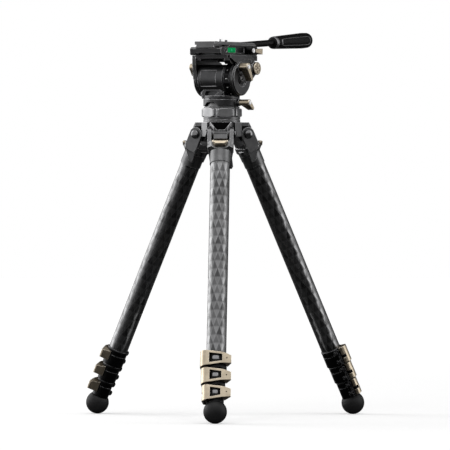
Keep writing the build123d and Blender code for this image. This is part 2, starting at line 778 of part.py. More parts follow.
def head_housing():
    """Rotating half of the pan joint, the saddle and the fluid drum in one."""
    z0 = pan_z + pan_groove_rise + pan_groove_height
    drum = bar_x(drum_radius, drum_left, drum_right, 0, tilt_z)
    drum = chamfer(drum.edges().filter_by(GeomType.CIRCLE), drum_edge)
    drum &= block(drum_left - 1, drum_right + 1, -drum_radius, drum_radius,
                  tilt_z - drum_radius, tilt_z + drum_top)
    w, d = saddle_right, saddle_half_depth
    saddle = [(saddle_left + 2, z0), (w, z0), (w, tilt_z - 8), (saddle_left, tilt_z - 8),
              (saddle_left, z0 + 5)]
    body = outline_xz(saddle, -d, d)
    body &= outline_yz([(-d, z0), (d, z0), (d, z0 + 9), (d - 2, tilt_z - 8),
                        (-d + 2, tilt_z - 8), (-d, z0 + 9)], drum_left, drum_right)
    body += drum
    # raised angular bracket and its window on the front of the saddle
    frame = [(-22, z0), (-24, z0 + 7), (-24, z0 + 11), (-19, z0 + 16), (8, z0 + 16),
             (16, z0 + 11), (16, z0 + 8), (6, z0)]
    body += outline_xz(frame, -d - 2.5, -d + 6)
    hole = [(-18, z0 + 5), (-18, z0 + 9), (-15, z0 + 12.6), (4, z0 + 12.6), (8, z0 + 10),
            (2, z0 + 5)]
    body -= outline_xz(hole, -d - 3, -d + 3)
    body += pan_skirt()
    # shallow panel on the drum's front
    panel = block(panel_left, panel_right, -drum_radius - 1, -drum_radius / 2,
                  tilt_z + panel_low, tilt_z + panel_high)
    body -= panel & (bar_x(drum_radius + 1, panel_left, panel_right, 0, tilt_z)
                     - bar_x(drum_radius - panel_depth, panel_left, panel_right, 0, tilt_z))
    # bores for the spring and the tilt shaft, and room for the dial
    body -= bar_x(cavity_radius, drum_left + drum_wall, drum_right + 1, 0, tilt_z)
    body -= bar_x(shaft_radius + clearance, drum_left - 1, drum_right, 0, tilt_z)
    body -= bar_x(drum_radius + seat_gap, drum_right, disc_right + 2, 0, tilt_z)
    body -= bar_x(drum_radius + seat_gap, left_outer - 1, drum_left, 0, tilt_z)
    return body


def drag_dial():
    """Faceted dial that sets the tilt drag."""
    x0, x1 = dial_left, dial_left + dial_width
    dial = bar_x(dial_radius, x0, x1, 0, tilt_z)
    dial = chamfer(dial.edges().filter_by(GeomType.CIRCLE), dial_edge)
    for i in range(dial_facets):
        turn = Pos(0, 0, tilt_z) * Rot(i * 360 / dial_facets, 0, 0)
        dial -= turn * block(x0 + 1.5, x1 - 1.5, -20, 20, dial_radius * 0.972, dial_radius + 2)
    return dial - bar_x(shaft_radius + 2 * clearance, x0 - 1, x1 + 1, 0, tilt_z)


def tilt_shaft():
    """Shaft through the drum, with a round cap in the right-hand disc."""
    x0, x1 = left_outer + 2, disc_right - disc_recess
    return (bar_x(shaft_radius, x0, x1, 0, tilt_z)
            + bar_x(shaft_cap_radius, x1, x1 + shaft_cap_height, 0, tilt_z))


def balance_spring():
    """Counterbalance spring wound round the tilt shaft."""
    mean = shaft_radius + seat_gap + spring_wire
    coil = Helix(spring_pitch, spring_turns * spring_pitch, mean)
    start = coil @ 0
    wire = Plane(origin=start, z_dir=coil % 0) * Circle(spring_wire)
    spring = sweep(wire, coil, is_frenet=True)
    length = spring_turns * spring_pitch
    middle = (drum_left + drum_wall + drum_right) / 2
    return Pos(middle - length / 2, 0, tilt_z) * Rot(0, 90, 0) * spring


# ---------------------------------------------------------------- tilting cradle
def plate_outline(disc, upright):
    """Side plate seen along X: the arm above the disc and the rosette ear. Its
    front edge is upright or slopes straight back to the disc."""
    top = platform_z + slab_height
    y, z, r = rosette_back, rosette_z, rosette_radius
    front = [(arm_front, top), (arm_front, platform_z + 1), (-8, tilt_z + disc * 0.85)]
    if upright:
        front = [(arm_front, top), (arm_front, tilt_z + 23), (-disc - 1, tilt_z + 12),
                 (-disc, tilt_z)]
    return front + [(0, tilt_z - disc * 0.5), (disc * 0.7, tilt_z - disc * 0.45),
                    (y + r * 0.4, z - r * 0.85), (y + r * 0.9, z), (y + 2, z + r * 0.9),
                    (arm_rear, top)]


def side_plates():
    """The two discs on the tilt shaft that carry the platform."""
    top = platform_z + slab_height
    left0, left1 = left_outer, left_outer + left_plate
    left = bar_x(drum_radius, left0, left1, 0, tilt_z)
    left = chamfer(left.edges().filter_by(GeomType.CIRCLE), left_edge)
    left += outline_yz(plate_outline(drum_radius, True), left0, left1)
    left += bar_x(rosette_radius, left0, left1, rosette_back, rosette_z)
    boss = lock_hub_radius + lock_boss
    left += bar_x(boss, left0 - lock_boss_rise, left1, lock_hub_front, lock_hub_z)
    right0, right1 = disc_left, disc_right
    right = bar_x(right_disc_radius, right0, right1, 0, tilt_z)
    right = chamfer(right.faces().sort_by(Axis.X)[-1].edges(), disc_edge)
    right += outline_yz(plate_outline(right_disc_radius, False), right0, right1 - lock_boss_rise)
    right += bar_x(rosette_radius, right0, right1, rosette_back, rosette_z)
    right += bar_x(boss, right0, right1 + lock_boss_rise, lock_hub_front, lock_hub_z)
    right -= bar_x(disc_recess_radius, right1 - disc_recess, right1 + 1, 0, tilt_z)
    right -= block(right1 - 3, right1, 8, 30, platform_z - 9, platform_z - 1)
    for x0, x1 in ((left0, left1), (right0, right1)):
        bore = bar_x(shaft_radius + fit, x0 + (2 if x0 < 0 else -1), x1 + 1, 0, tilt_z)
        lock = bar_x(lock_stem_radius + clearance, x0 - 3, x1 + 3, lock_hub_front, lock_hub_z)
        tooth = bar_x(handle_stud_radius + clearance, x0 - 3, x1 + 3, rosette_back, rosette_z)
        if x0 < 0:
            left = left - bore - lock - tooth
        else:
            right = right - bore - lock - tooth
    return left, right


def platform():
    """Clamp body on its slab, with the dovetail channel for the plate."""
    inner_l, inner_r = left_outer + left_plate, disc_left
    slab = block(inner_l + fit, inner_r - fit, slab_front, slab_rear, platform_z, clamp_z)
    for x0, x1 in ((inner_l + fit, inner_l + rail_width), (inner_r - rail_width, inner_r - fit)):
        slab += block(x0, x1, slab_front + 4, slab_rear, platform_z - rail_depth, platform_z)
    slab += block(inner_l + rail_width, inner_r - rail_width, keel_front, keel_rear,
                  platform_z - keel_depth, platform_z)
    r = drum_radius + 2 * seat_gap
    gusset = outline_yz([(slab_front + 4, platform_z), (-22, tilt_z + 24), (-8, tilt_z + 24),
                         (6, platform_z)], inner_r - gusset_width, inner_r - fit)
    slab += gusset - bar_x(r, inner_r - gusset_width - 1, inner_r + 1, 0, tilt_z)
    w = clamp_half_width
    top = clamp_z + clamp_height
    side = [(clamp_front, clamp_z + 3), (clamp_front + 2, clamp_z), (clamp_rear - 3, clamp_z),
            (clamp_rear, clamp_z + 3), (clamp_rear, top - 4), (clamp_rear - 4, top),
            (-22, top), (-30, top - 3.5), (clamp_front + 4, top - 3.5), (clamp_front, top - 6)]
    clamp = outline_yz(side, -w, w)
    clamp -= outline_xz([(-16, clamp_z - 1), (-12, clamp_z + 3.6), (14, clamp_z + 3.6),
                         (20, clamp_z - 1)], clamp_front - 1, clamp_front + 10)
    f, n = plate_foot_half_width + seat_gap, plate_neck_half_width + seat_gap
    channel = [(-f, floor_z), (f, floor_z), (f, floor_z + 1), (n, floor_z + plate_foot + 0.5),
               (n, top + 1), (-n, top + 1), (-n, floor_z + plate_foot + 0.5), (-f, floor_z + 1)]
    clamp -= outline_xz(channel, clamp_front - 1, clamp_rear + 1)
    # bed of the bubble level, and a round screw head beside it
    v, h = vial_length / 2 + fit, vial_height / 2 + fit
    vz = clamp_z + vial_rise
    clamp -= block(w - vial_depth - fit, w + 1, vial_place - v, vial_place + v, vz - h, vz + h)
    screw_y = vial_place - v - 6
    clamp -= bar_x(4, w - 1.2, w + 1, screw_y, vz) - bar_x(3, w - 2, w + 1, screw_y, vz)
    # framed panel behind the level
    clamp -= block(w - 0.8, w + 1, vial_place + v + 6, plate_lock_place - 8, vz - 4.5, vz + 4)
    clamp -= bar_x(lock_stem_radius + clearance, w - plate_lock_stem - 1, w + 1,
                   plate_lock_place, vz)
    return slab + clamp


def quick_plate():
    """Sliding camera plate with a dovetail foot and an anti-twist pin."""
    f, n, w = plate_foot_half_width, plate_neck_half_width, plate_half_width
    z = plate_z
    e, foot_e, top = plate_edge, plate_foot_edge, plate_top
    section = [(-f, z), (f, z), (f, z + foot_e), (n, z + plate_foot), (n, slab_z), (w, slab_z),
               (w, top - e), (w - e, top), (-w + e, top), (-w, top - e),
               (-w, slab_z), (-n, slab_z), (-n, z + plate_foot), (-f, z + foot_e)]
    body = outline_xz(section, plate_front, plate_rear)
    body &= outline_yz([(plate_front, z), (plate_front, top), (plate_rear - plate_bevel, top),
                        (plate_rear, top - plate_rear_drop), (plate_rear, z)], -w - 1, w + 1)
    # slot for the camera screw and its head below
    body -= post(screw_shank_radius + clearance, z - 1, plate_top + 1, 0, screw_place)
    body -= post(screw_head_radius + 2 * clearance, z - 1, plate_top - screw_head_depth, 0,
                 screw_place)
    return body + post(twist_pin_radius, plate_top - 1, plate_top + twist_pin_rise,
                       0, twist_pin_place)


def camera_screw():
    """1/4-inch camera screw with a slotted head under the plate."""
    z = plate_z + 1
    head = post(screw_head_radius, z, plate_top - screw_head_depth - 0.2, 0, screw_place)
    head -= Pos(0, screw_place, z) * Box(3 * screw_head_radius, screw_slot_width, 2)
    shank = post(screw_shank_radius, z + 1, plate_top + 1, 0, screw_place)
    thread = post(screw_radius, plate_top + 0.2, plate_top + screw_rise, 0, screw_place)
    return head + shank + thread


def bubble_level():
    """Spirit level: a clear block with the vial lying in its bore."""
    z = clamp_z + vial_rise
    x1 = clamp_half_width - 0.2
    x0 = x1 - vial_depth + 0.2
    v, h = vial_length / 2, vial_height / 2
    case = block(x0, x1, vial_place - v, vial_place + v, z - h, z + h)
    case = chamfer(case.faces().sort_by(Axis.X)[-1].edges(), 0.4)
    tube_x = (x0 + x1) / 2
    vial = bar_y(vial_radius, vial_place - v + vial_end, vial_place + v - vial_end, tube_x, z)
    return [case - vial, vial]


# ---------------------------------------------------------------- pan handle
def handle_point(y):
    """Point of the bar's centre line at distance y behind the tripod's axis."""
    return (handle_side, y, tilt_z + handle_axis_rise + y * sin(radians(handle_slope)))


def handle_arm():
    """Rosette disc and the bar that rises from it to the grip."""
    outer = left_outer - seat_gap
    disc = bar_x(rosette_radius, handle_side - 4.5, outer, rosette_back, rosette_z)
    disc = chamfer(disc.edges().filter_by(GeomType.CIRCLE), rosette_edge)
    start = (handle_side, rosette_back, rosette_z)
    straight = handle_bend + handle_bend_radius
    path = FilletPolyline(start, handle_point(handle_bend), handle_point(straight),
                          radius=handle_bend_radius)
    bar = sweep(Plane(origin=start, z_dir=path % 0) * Circle(handle_radius), path)
    a, b = Vector(*handle_point(straight)), Vector(*handle_point(grip_start + 8))
    cone = turned([(0, 0), (handle_radius, 0), (handle_end_radius, (b - a).length),
                   (0, (b - a).length)])
    bar += Plane(origin=a, z_dir=b - a).location * cone
    stud = bar_x(handle_stud_radius, outer - 1, left_outer + left_plate - 1, rosette_back,
                 rosette_z)
    return disc + bar + stud


def handle_grip():
    """Rubber grip that swells towards its rounded butt."""
    a, b = Vector(*handle_point(grip_start)), Vector(*handle_point(grip_end))
    length = (b - a).length
    r0, r1 = grip_front_radius, grip_butt_radius
    profile = [(0, 0), (r0 - 1.5, 0), (r0, 1.5), (r0, 10), (r0 + 0.5, 12), (r0 + 1.4, 40),
               (r1 - 0.6, length * 0.62), (r1, length * 0.8), (r1 - 0.6, length * 0.93),
               (r1 - 4, length * 0.985), (r1 - 8, length), (0, length)]
    grip = turned(profile)
    grip -= post(handle_end_radius + fit, -1, 8.2)
    return Plane(origin=a, z_dir=b - a).location * grip


def handle_knob():
    """Slotted clamp cap on the free rosette."""
    x0, x1 = disc_right + seat_gap, disc_right + seat_gap + cap_height
    cap = bar_x(rosette_radius, x0, x1, rosette_back, rosette_z)
    cap = chamfer(cap.edges().filter_by(GeomType.CIRCLE), rosette_edge)
    for i in range(cap_slots):
        at = Pos(x1, rosette_back, rosette_z) * Rot(i * 360 / cap_slots, 0, 0)
        cap -= at * Pos(0, 0, cap_slot_place) * Box(2 * cap_slot_depth, cap_slot_width,
                                                    cap_slot_length)
    cap -= bar_x(cap_centre_radius, x1 - cap_slot_depth, x1 + 1, rosette_back, rosette_z)
    return cap + bar_x(handle_stud_radius, disc_left + 1, x0 + 1, rosette_back, rosette_z)


# ---------------------------------------------------------------- write the nodes
os.makedirs("parts", exist_ok=True)

leg_parts = {"yoke": [yoke()], "latch": [latch()], "foot": [foot()]}
for n in range(4):
    leg_parts[f"tube_{n + 1}"] = [tube(n)]
for n in range(3):
    leg_parts[f"collar_{n + 1}"] = collar(n)
    leg_parts[f"lever_{n + 1}"] = [lever(n)]
for side, azimuth in leg_azimuths.items():
    place = leg_place(azimuth)
    for name, solids in leg_parts.items():
        write(f"{side}_leg_{name}", *[place * solid for solid in solids])

write("crown", crown())
write("leg_pins", *[hub_place(a) * leg_pin() for a in leg_azimuths.values()])
write("level_ring", level_ring())
write("tie_down_knob", tie_down_knob())
write("pan_base", pan_base())
write("head_housing", head_housing())
write("drag_dial", drag_dial())
write("tilt_shaft", tilt_shaft())
write("balance_spring", balance_spring())
write("side_plates", *side_plates())
write("platform", platform())
write("quick_plate", quick_plate())
write("camera_screw", camera_screw())
write("bubble_level", *bubble_level())
write("pan_lock_lever", lock_lever(pan_boss_reach + seat_gap, pan_boss_reach + pan_lock_length, 0,
                                   pan_lock_z, pan_lock_angle, pan_lock_stem, pan_lock_arm,
                                   pan_hub_radius))
lock_stem = right_plate - 1
x0 = disc_right + side_lock_gap
write("tilt_lock_lever", lock_lever(x0, x0 + side_lock_length, lock_hub_front, lock_hub_z,
                                    tilt_lock_angle, lock_stem, tilt_lock_arm))
x0 = -left_outer + side_lock_gap
write("balance_lever", mirror(
    lock_lever(x0, x0 + balance_lock_length, lock_hub_front, lock_hub_z, balance_angle,
               lock_stem, balance_arm), Plane.YZ))
x0 = clamp_half_width + seat_gap
write("plate_lock_lever", lock_lever(x0, x0 + plate_lock_length, plate_lock_place, plate_lock_z,
                                     plate_lock_angle, plate_lock_stem, plate_lock_arm,
                                     widths=plate_lever_widths))
write("handle_arm", handle_arm())
write("handle_grip", handle_grip())
write("handle_knob", handle_knob())
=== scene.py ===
# %% [markdown]
# # A video tripod with a fluid head
#
# The construction of this tripod is already modelled: every casting, tube, lever and screw
# arrives as a fixed frame, in metres, standing on the floor with +Z up. This notebook dresses
# it. Some pieces only need their finish. Others, such as the carbon tubes, the rubber feet and
# the grip, have a surface that plain solids can't show, so they are worked out here as arrays
# of points and take the place of the plain ones.

# %% Load the frame
import json
import math

import bmesh
import bpy
import numpy as np
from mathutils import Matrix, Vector


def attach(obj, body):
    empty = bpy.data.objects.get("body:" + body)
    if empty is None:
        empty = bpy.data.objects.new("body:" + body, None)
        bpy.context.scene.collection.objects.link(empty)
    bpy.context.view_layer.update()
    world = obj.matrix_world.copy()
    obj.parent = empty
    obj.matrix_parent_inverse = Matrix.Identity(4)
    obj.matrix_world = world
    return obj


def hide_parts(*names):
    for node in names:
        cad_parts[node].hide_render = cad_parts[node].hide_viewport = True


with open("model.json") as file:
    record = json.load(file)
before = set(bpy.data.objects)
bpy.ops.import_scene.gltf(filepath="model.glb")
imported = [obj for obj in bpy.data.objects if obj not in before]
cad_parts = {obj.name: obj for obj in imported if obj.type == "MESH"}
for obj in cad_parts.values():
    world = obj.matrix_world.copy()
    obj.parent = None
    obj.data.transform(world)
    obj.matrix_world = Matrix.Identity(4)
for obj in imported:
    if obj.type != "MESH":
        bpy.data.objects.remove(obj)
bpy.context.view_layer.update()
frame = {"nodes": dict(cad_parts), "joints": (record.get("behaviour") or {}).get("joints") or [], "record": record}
nodes = frame["nodes"]
joints = {joint["name"]: joint for joint in frame["joints"]}
SIDES = ("front", "right", "left")

# %% [markdown]
# ## Surfaces from arrays
#
# A new piece could be pushed and pulled by hand, but a surface with a formula is easier to
# change. Each piece below is a grid: rows run along it, columns run round it, and one numpy
# expression gives all its points at once. A few helpers turn a grid into a mesh. Ends that
# shrink to a point are welded, so the surface is closed, and the normals point outwards.


# %% Grid to faces
def grid_quads(rows, columns, ring):
    """Corner numbers of a grid's quads. Point (i, j) is number i * columns + j, and each quad
    joins it to its neighbours at i + 1 and j + 1. A ring's last row meets its first."""
    last = rows if ring else rows - 1
    i, j = np.meshgrid(np.arange(last), np.arange(columns), indexing="ij")
    row, next_row = i * columns, (i + 1) % rows * columns
    next_j = (j + 1) % columns
    corners = [row + j, row + next_j, next_row + next_j, next_row + j]
    return np.stack(corners, axis=-1).reshape(-1, 4)


# %% Faces to piece
MICROMETRE = 1e-6


def make_piece(name, grids, body, finish, sharp=32, ring=False):
    """One mesh object from one or more grids of points, shape (rows, columns, 3), in metres.
    The columns close on themselves; open ends are capped with one flat face each."""
    points, faces, start = [], [], 0
    for grid in grids:
        rows, columns = grid.shape[:2]
        points.append(grid.reshape(-1, 3))
        faces += (grid_quads(rows, columns, ring) + start).tolist()
        if not ring:
            faces.append((np.arange(columns)[::-1] + start).tolist())
            faces.append((np.arange(columns) + start + (rows - 1) * columns).tolist())
        start += rows * columns
    mesh = new_mesh(name, np.concatenate(points), faces)
    tidy_mesh(mesh, sharp)
    return add_piece(name, mesh, body, finish)


def new_mesh(name, points, faces):
    """A mesh from points, in any array shape that ends in x, y, z, and its faces' corners."""
    mesh = bpy.data.meshes.new(name)
    mesh.from_pydata(points.reshape(-1, 3).tolist(), [], list(map(list, faces)))
    return mesh


def in_scene(name, data, finish=None):
    """An object made of a mesh, a lamp or a camera, put in the scene. A mesh gets its finish."""
    made = bpy.data.objects.new(name, data)
    bpy.context.scene.collection.objects.link(made)
    if finish:
        data.materials.append(finish)
    return made


def tidy_mesh(mesh, sharp):
    """Weld points closer than a micrometre, drop what collapsed, and turn the normals out."""
    work = bmesh.new()
    work.from_mesh(mesh)
    bmesh.ops.remove_doubles(work, verts=work.verts, dist=MICROMETRE)
    bmesh.ops.recalc_face_normals(work, faces=work.faces)
    work.to_mesh(mesh)
    work.free()
    shade(mesh, sharp)


def shade(mesh, sharp):
    """Smooth shading, with a crease at edges sharper than an angle in degrees."""
    mesh.shade_smooth()
    mesh.set_sharp_from_angle(angle=math.radians(sharp))


def add_piece(name, mesh, body, finish):
    """Put a mesh in the scene, riding on a body, with its finish."""
    piece = in_scene(name, mesh, finish)
    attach(piece, body)
    return piece


# %% Round profiles
LARGEST_SHARE = 0.45  # of an edge, that one of its rounded corners may take


def eased(corners, radius, steps=5):
    """A profile whose corners are rounded. Each inner corner becomes a quadratic curve that
    starts and ends at most radius away from it: (1-t)^2 A + 2t(1-t) corner + t^2 B."""
    corners = np.asarray(corners, float)
    t = np.linspace(0, 1, steps)[:, None]
    curve = [corners[:1]]
    for before, corner, after in zip(corners, corners[1:], corners[2:]):
        back, ahead = before - corner, after - corner
        near_back, near_ahead = (
            min(radius / np.linalg.norm(edge), LARGEST_SHARE) for edge in (back, ahead)
        )
        a, b = corner + back * near_back, corner + ahead * near_ahead
        curve.append((1 - t) ** 2 * a + 2 * t * (1 - t) * corner + t**2 * b)
    return np.concatenate(curve + [corners[-1:]])


def turned(profile, steps):
    """A profile of (radius, height) turned about Z: x = r cos a, y = r sin a, z = height."""
    profile = np.asarray(profile, float)
    angle = np.linspace(0, 2 * np.pi, steps, endpoint=False)
    radius, height = profile[:, :1], profile[:, 1:]
    flat = np.ones_like(angle)
    return np.stack([radius * np.cos(angle), radius * np.sin(angle), height * flat], axis=-1)


def placed(grid, origin, x_axis, z_axis):
    """Move a grid from its own axes to a place in the model: origin + x X + y Y + z Z."""
    x_axis, z_axis = np.asarray(x_axis, float), np.asarray(z_axis, float)
    axes = np.stack([x_axis, np.cross(z_axis, x_axis), z_axis])
    return grid @ axes + np.asarray(origin, float)


# %% [markdown]
# ## Shared effects
#
# Machined and cast parts share two effects. Real edges are never razor sharp: their rounded
# normal catches a thin line of light, and a paler colour is painted there as a highlight. And
# no surface is perfectly even: a fine grain breaks up its gloss. Each effect is a node group,
# made once and placed in each material that needs it, with its own values.


# %% Node helpers
def add_node(tree, kind, **values):
    """Add a node; values set its sockets by name, or its properties where no socket fits."""
    node = tree.nodes.new(kind)
    for name, value in values.items():
        label = name.replace("_", " ")
        if label in node.inputs:
            node.inputs[label].default_value = value
        else:
            setattr(node, name, value)
    return node


def feed(tree, sockets, terms):
    """Give each socket its term: a link from another socket, or a plain value."""
    for socket, term in zip(sockets, terms):
        if isinstance(term, bpy.types.NodeSocket):
            tree.links.new(term, socket)
        else:
            socket.default_value = term


def math_node(tree, operation, *terms, clamp=False):
    """One arithmetic step on numbers or sockets; gives the result's socket."""
    node = add_node(tree, "ShaderNodeMath", operation=operation, use_clamp=clamp)
    feed(tree, node.inputs, terms)
    return node.outputs[0]


def vector_node(tree, operation, *terms):
    """One step on vectors or sockets. A length or a dot product is a number."""
    node = add_node(tree, "ShaderNodeVectorMath", operation=operation)
    feed(tree, node.inputs, terms)
    return node.outputs["Value" if operation in ("LENGTH", "DOT_PRODUCT") else "Vector"]


def new_group(name, inputs, outputs):
    """An empty node group with named sockets, and its input and output nodes."""
    group = bpy.data.node_groups.new(name, "ShaderNodeTree")
    for label, kind, value in inputs:
        group.interface.new_socket(label, in_out="INPUT", socket_type=kind).default_value = value
    for label, kind in outputs:
        group.interface.new_socket(label, in_out="OUTPUT", socket_type=kind)
    return group, group.nodes.new("NodeGroupInput"), group.nodes.new("NodeGroupOutput")


# %% Soft edges
def soft_edges_group():
    """Rounded-edge normal and a mask of the edges, where the metals get a painted highlight. The
    mask is one minus the dot product of the rounded normal and the true one: zero on flats, more
    where the surface turns."""
    group, given, result = new_group(
        "soft edges",
        [("Radius", "NodeSocketFloat", 0.0008), ("Spread", "NodeSocketFloat", 14.0)],
        [("Normal", "NodeSocketVector"), ("Mask", "NodeSocketFloat")],
    )
    link = group.links.new
    bevel = add_node(group, "ShaderNodeBevel", samples=6)
    link(given.outputs["Radius"], bevel.inputs["Radius"])
    geometry = add_node(group, "ShaderNodeNewGeometry")
    normals = bevel.outputs["Normal"], geometry.outputs["Normal"]
    same = vector_node(group, "DOT_PRODUCT", *normals)
    turn = math_node(group, "SUBTRACT", 1.0, same, clamp=True)
    mask = math_node(group, "MULTIPLY", turn, given.outputs["Spread"], clamp=True)
    link(bevel.outputs["Normal"], result.inputs["Normal"])
    link(mask, result.inputs["Mask"])
    return group


# %% Fine grain
NOISE_SPAN = (0.3, 0.7)  # noise seldom leaves this span, so it is what gets stretched
NARROW_SPAN = (0.35, 0.65)


def grain_group():
    """Noise of two sizes on Object coordinates: a fine one, for gloss and bump, and a coarse
    one, for patches of colour."""
    group, given, result = new_group(
        "grain",
        [("Fine", "NodeSocketFloat", 2500.0), ("Coarse", "NodeSocketFloat", 60.0)],
        [("Height", "NodeSocketFloat"), ("Patches", "NodeSocketFloat")],
    )
    link = group.links.new
    place = add_node(group, "ShaderNodeTexCoord")
    for label, output in (("Fine", "Height"), ("Coarse", "Patches")):
        noise = add_node(group, "ShaderNodeTexNoise", Detail=2.0, Roughness=0.6)
        link(place.outputs["Object"], noise.inputs["Vector"])
        link(given.outputs[label], noise.inputs["Scale"])
        link(noise.outputs["Fac"], result.inputs[output])
    return group


SOFT_EDGES, GRAIN = soft_edges_group(), grain_group()
print("node groups:", SOFT_EDGES.name, "and", GRAIN.name)


# %% Material helpers
def new_material(name, **sockets):
    """A material whose Principled shader has the given socket values."""
    material = bpy.data.materials.new(name)
    material.use_nodes = True
    shader = material.node_tree.nodes["Principled BSDF"]
    for label, value in sockets.items():
        shader.inputs[label.replace("_", " ")].default_value = value
    material.diffuse_color = shader.inputs["Base Color"].default_value[:]
    return material, material.node_tree, shader


def place_group(tree, group, **values):
    """Put a node group into a material with its own values."""
    return add_node(tree, "ShaderNodeGroup", node_tree=group, **values)


# A Mix node has sockets of one name for each kind of data, so its colours go by number.
COLOUR_A, COLOUR_B, MIXED_COLOUR = 6, 7, 2


def mix_colour(tree, factor, first, second):
    """Blend of two colours or sockets by a factor socket; gives the result's socket."""
    mix = add_node(tree, "ShaderNodeMix", data_type="RGBA")
    sockets = mix.inputs["Factor"], mix.inputs[COLOUR_A], mix.inputs[COLOUR_B]
    feed(tree, sockets, (factor, first, second))
    return mix.outputs[MIXED_COLOUR]


def map_range(tree, socket, low, high, to_low, to_high):
    """Straight-line mapping of a value, clamped at both ends."""
    node = add_node(
        tree, "ShaderNodeMapRange", From_Min=low, From_Max=high, To_Min=to_low, To_Max=to_high
    )
    tree.links.new(socket, node.inputs["Value"])
    return node.outputs["Result"]


def grained(tree, shader, edges, grain, gloss, strength, distance):
    """Grain in the gloss, between its pair of roughness values, and as a bump over the
    rounded-edge normal."""
    fine = grain.outputs["Height"]
    tree.links.new(map_range(tree, fine, *NOISE_SPAN, *gloss), shader.inputs["Roughness"])
    bump = add_node(tree, "ShaderNodeBump", Strength=strength, Distance=distance)
    tree.links.new(fine, bump.inputs["Height"])
    tree.links.new(edges.outputs["Normal"], bump.inputs["Normal"])
    tree.links.new(bump.outputs["Normal"], shader.inputs["Normal"])


# %% [markdown]
# ## Metals
#
# The castings are blasted and anodised: a dark satin metal with a fine grain and a painted
# highlight on its edges. The collars, the dial and the handle's bar are the darkest, then come
# the clamp, the drum and the side plates. The crown and the yokes are a lighter graphite, and
# the levers champagne. One function makes them all, because they differ only in colour, gloss
# and grain.
# Metal gets its look from what it reflects, so the shader is fully metallic and the colour is
# that of its reflections.


# %% Anodised metal
PATCH_TONES = (0.88, 1.12)


def anodised(name, colour, edge_highlight, gloss, grain_depth=0.25):
    """Blasted, anodised metal, its colour varying by an eighth from patch to patch, and a
    highlight painted on its edges in a paler colour.
    """
    material, tree, shader = new_material(name, Base_Color=colour, Metallic=1.0)
    edges = place_group(tree, SOFT_EDGES)
    grain = place_group(tree, GRAIN)
    patches = map_range(tree, grain.outputs["Patches"], *NARROW_SPAN, *PATCH_TONES)
    tone = add_node(tree, "ShaderNodeVectorMath", operation="SCALE")
    feed(tree, (tone.inputs[0], tone.inputs["Scale"]), (colour[:3], patches))
    # Painted highlight: the edge mask mixes the paler highlight colour over the metal's own.
    painted = mix_colour(tree, edges.outputs["Mask"], tone.outputs[0], edge_highlight)
    tree.links.new(painted, shader.inputs["Base Color"])
    grained(tree, shader, edges, grain, gloss, strength=grain_depth, distance=0.00008)
    return material


# %% The metals
# Roughness of the metals' smoothest and dullest grain.
BRIGHT, SATIN, CAST, MATT = (0.28, 0.38), (0.32, 0.42), (0.34, 0.44), (0.36, 0.46)


def cool(level, blue):
    """A grey with its own, slightly higher blue, as anodised metal has."""
    return (level, level, blue, 1)


def champagne(name):
    """The levers' anodising: a warm metal with a fine grain."""
    return anodised(name, (0.46, 0.395, 0.30, 1), (0.80, 0.73, 0.62, 1), BRIGHT, 0.12)


# Each metal has its reflection colour, its painted edge highlight's colour and its gloss.
black_metal = anodised("black satin", cool(0.012, 0.0125), cool(0.12, 0.125), (0.30, 0.40))
clamp_metal = anodised("clamp anodised", cool(0.034, 0.035), cool(0.62, 0.63), BRIGHT)
drum_metal = anodised("drum anodised", cool(0.060, 0.062), cool(0.42, 0.43), SATIN)
bracket_metal = anodised("bracket anodised", cool(0.060, 0.061), cool(0.60, 0.61), CAST)
plate_metal = anodised("plate anodised", cool(0.12, 0.122), cool(0.62, 0.63), CAST)
graphite_metal = anodised("graphite anodised", cool(0.12, 0.122), cool(0.60, 0.61), SATIN)
ring_metal = anodised("ring anodised", cool(0.27, 0.275), cool(0.75, 0.76), MATT)
champagne_metal = champagne("champagne anodised")
rim_metal = anodised("grip rim", cool(0.22, 0.224), cool(0.22, 0.224), CAST)
button_metal = anodised("button metal", cool(0.22, 0.225), cool(0.50, 0.51), CAST, 0.1)
polished_black = anodised("polished black", cool(0.16, 0.163), cool(0.16, 0.163), (0.07, 0.12))
steel = anodised("turned steel", cool(0.85, 0.86), cool(0.92, 0.93), (0.18, 0.28), 0.06)
print(len(bpy.data.materials), "materials so far")


# %% [markdown]
# ## Carbon tube
#
# The legs are wound carbon fibre under clear lacquer. The winding shows as long diamonds, some
# paler than others, because neighbouring tows run at different angles and throw the light
# differently. The pattern has to follow the tube, so it reads the tube's own UV map: u counts
# turns round the tube and v is the length along it in metres. Two slanting coordinates, u + v
# and u - v, cut that map into diamonds, and a random number for each diamond sets its tone.


# %% Tone and slope of a diamond
TUBE_MAP = "along"
HALF_SPAN, HALF_TONE = (-0.16, 0.06), 0.42
DICE_SPAN, DICE_TONES = (0.10, 0.70), (0.04, 0.34)
BAND_SPAN, BAND_TONE = (0.36, 0.44), 0.14
TOW_SCALE, TOW_TONES, TOW_GLOSS = (220, 60, 1), (-0.08, 0.08), (0.40, 0.26)


def diamond_shade(group, cell, rest, half):
    """A random tone for each diamond, paler in its lower half and along the tows' edges."""
    dice = add_node(group, "ShaderNodeTexWhiteNoise", noise_dimensions="2D")
    group.links.new(cell.outputs[0], dice.inputs["Vector"])
    tone = map_range(group, dice.outputs["Value"], *DICE_SPAN, *DICE_TONES)
    tone = math_node(group, "MULTIPLY_ADD", half, HALF_TONE, tone)
    edges = [math_node(group, "ABSOLUTE", math_node(group, "SUBTRACT", r, 0.5)) for r in rest]
    band = map_range(group, math_node(group, "MAXIMUM", *edges), *BAND_SPAN, 0.0, 1.0)
    return math_node(group, "MULTIPLY_ADD", band, BAND_TONE, tone, clamp=True)


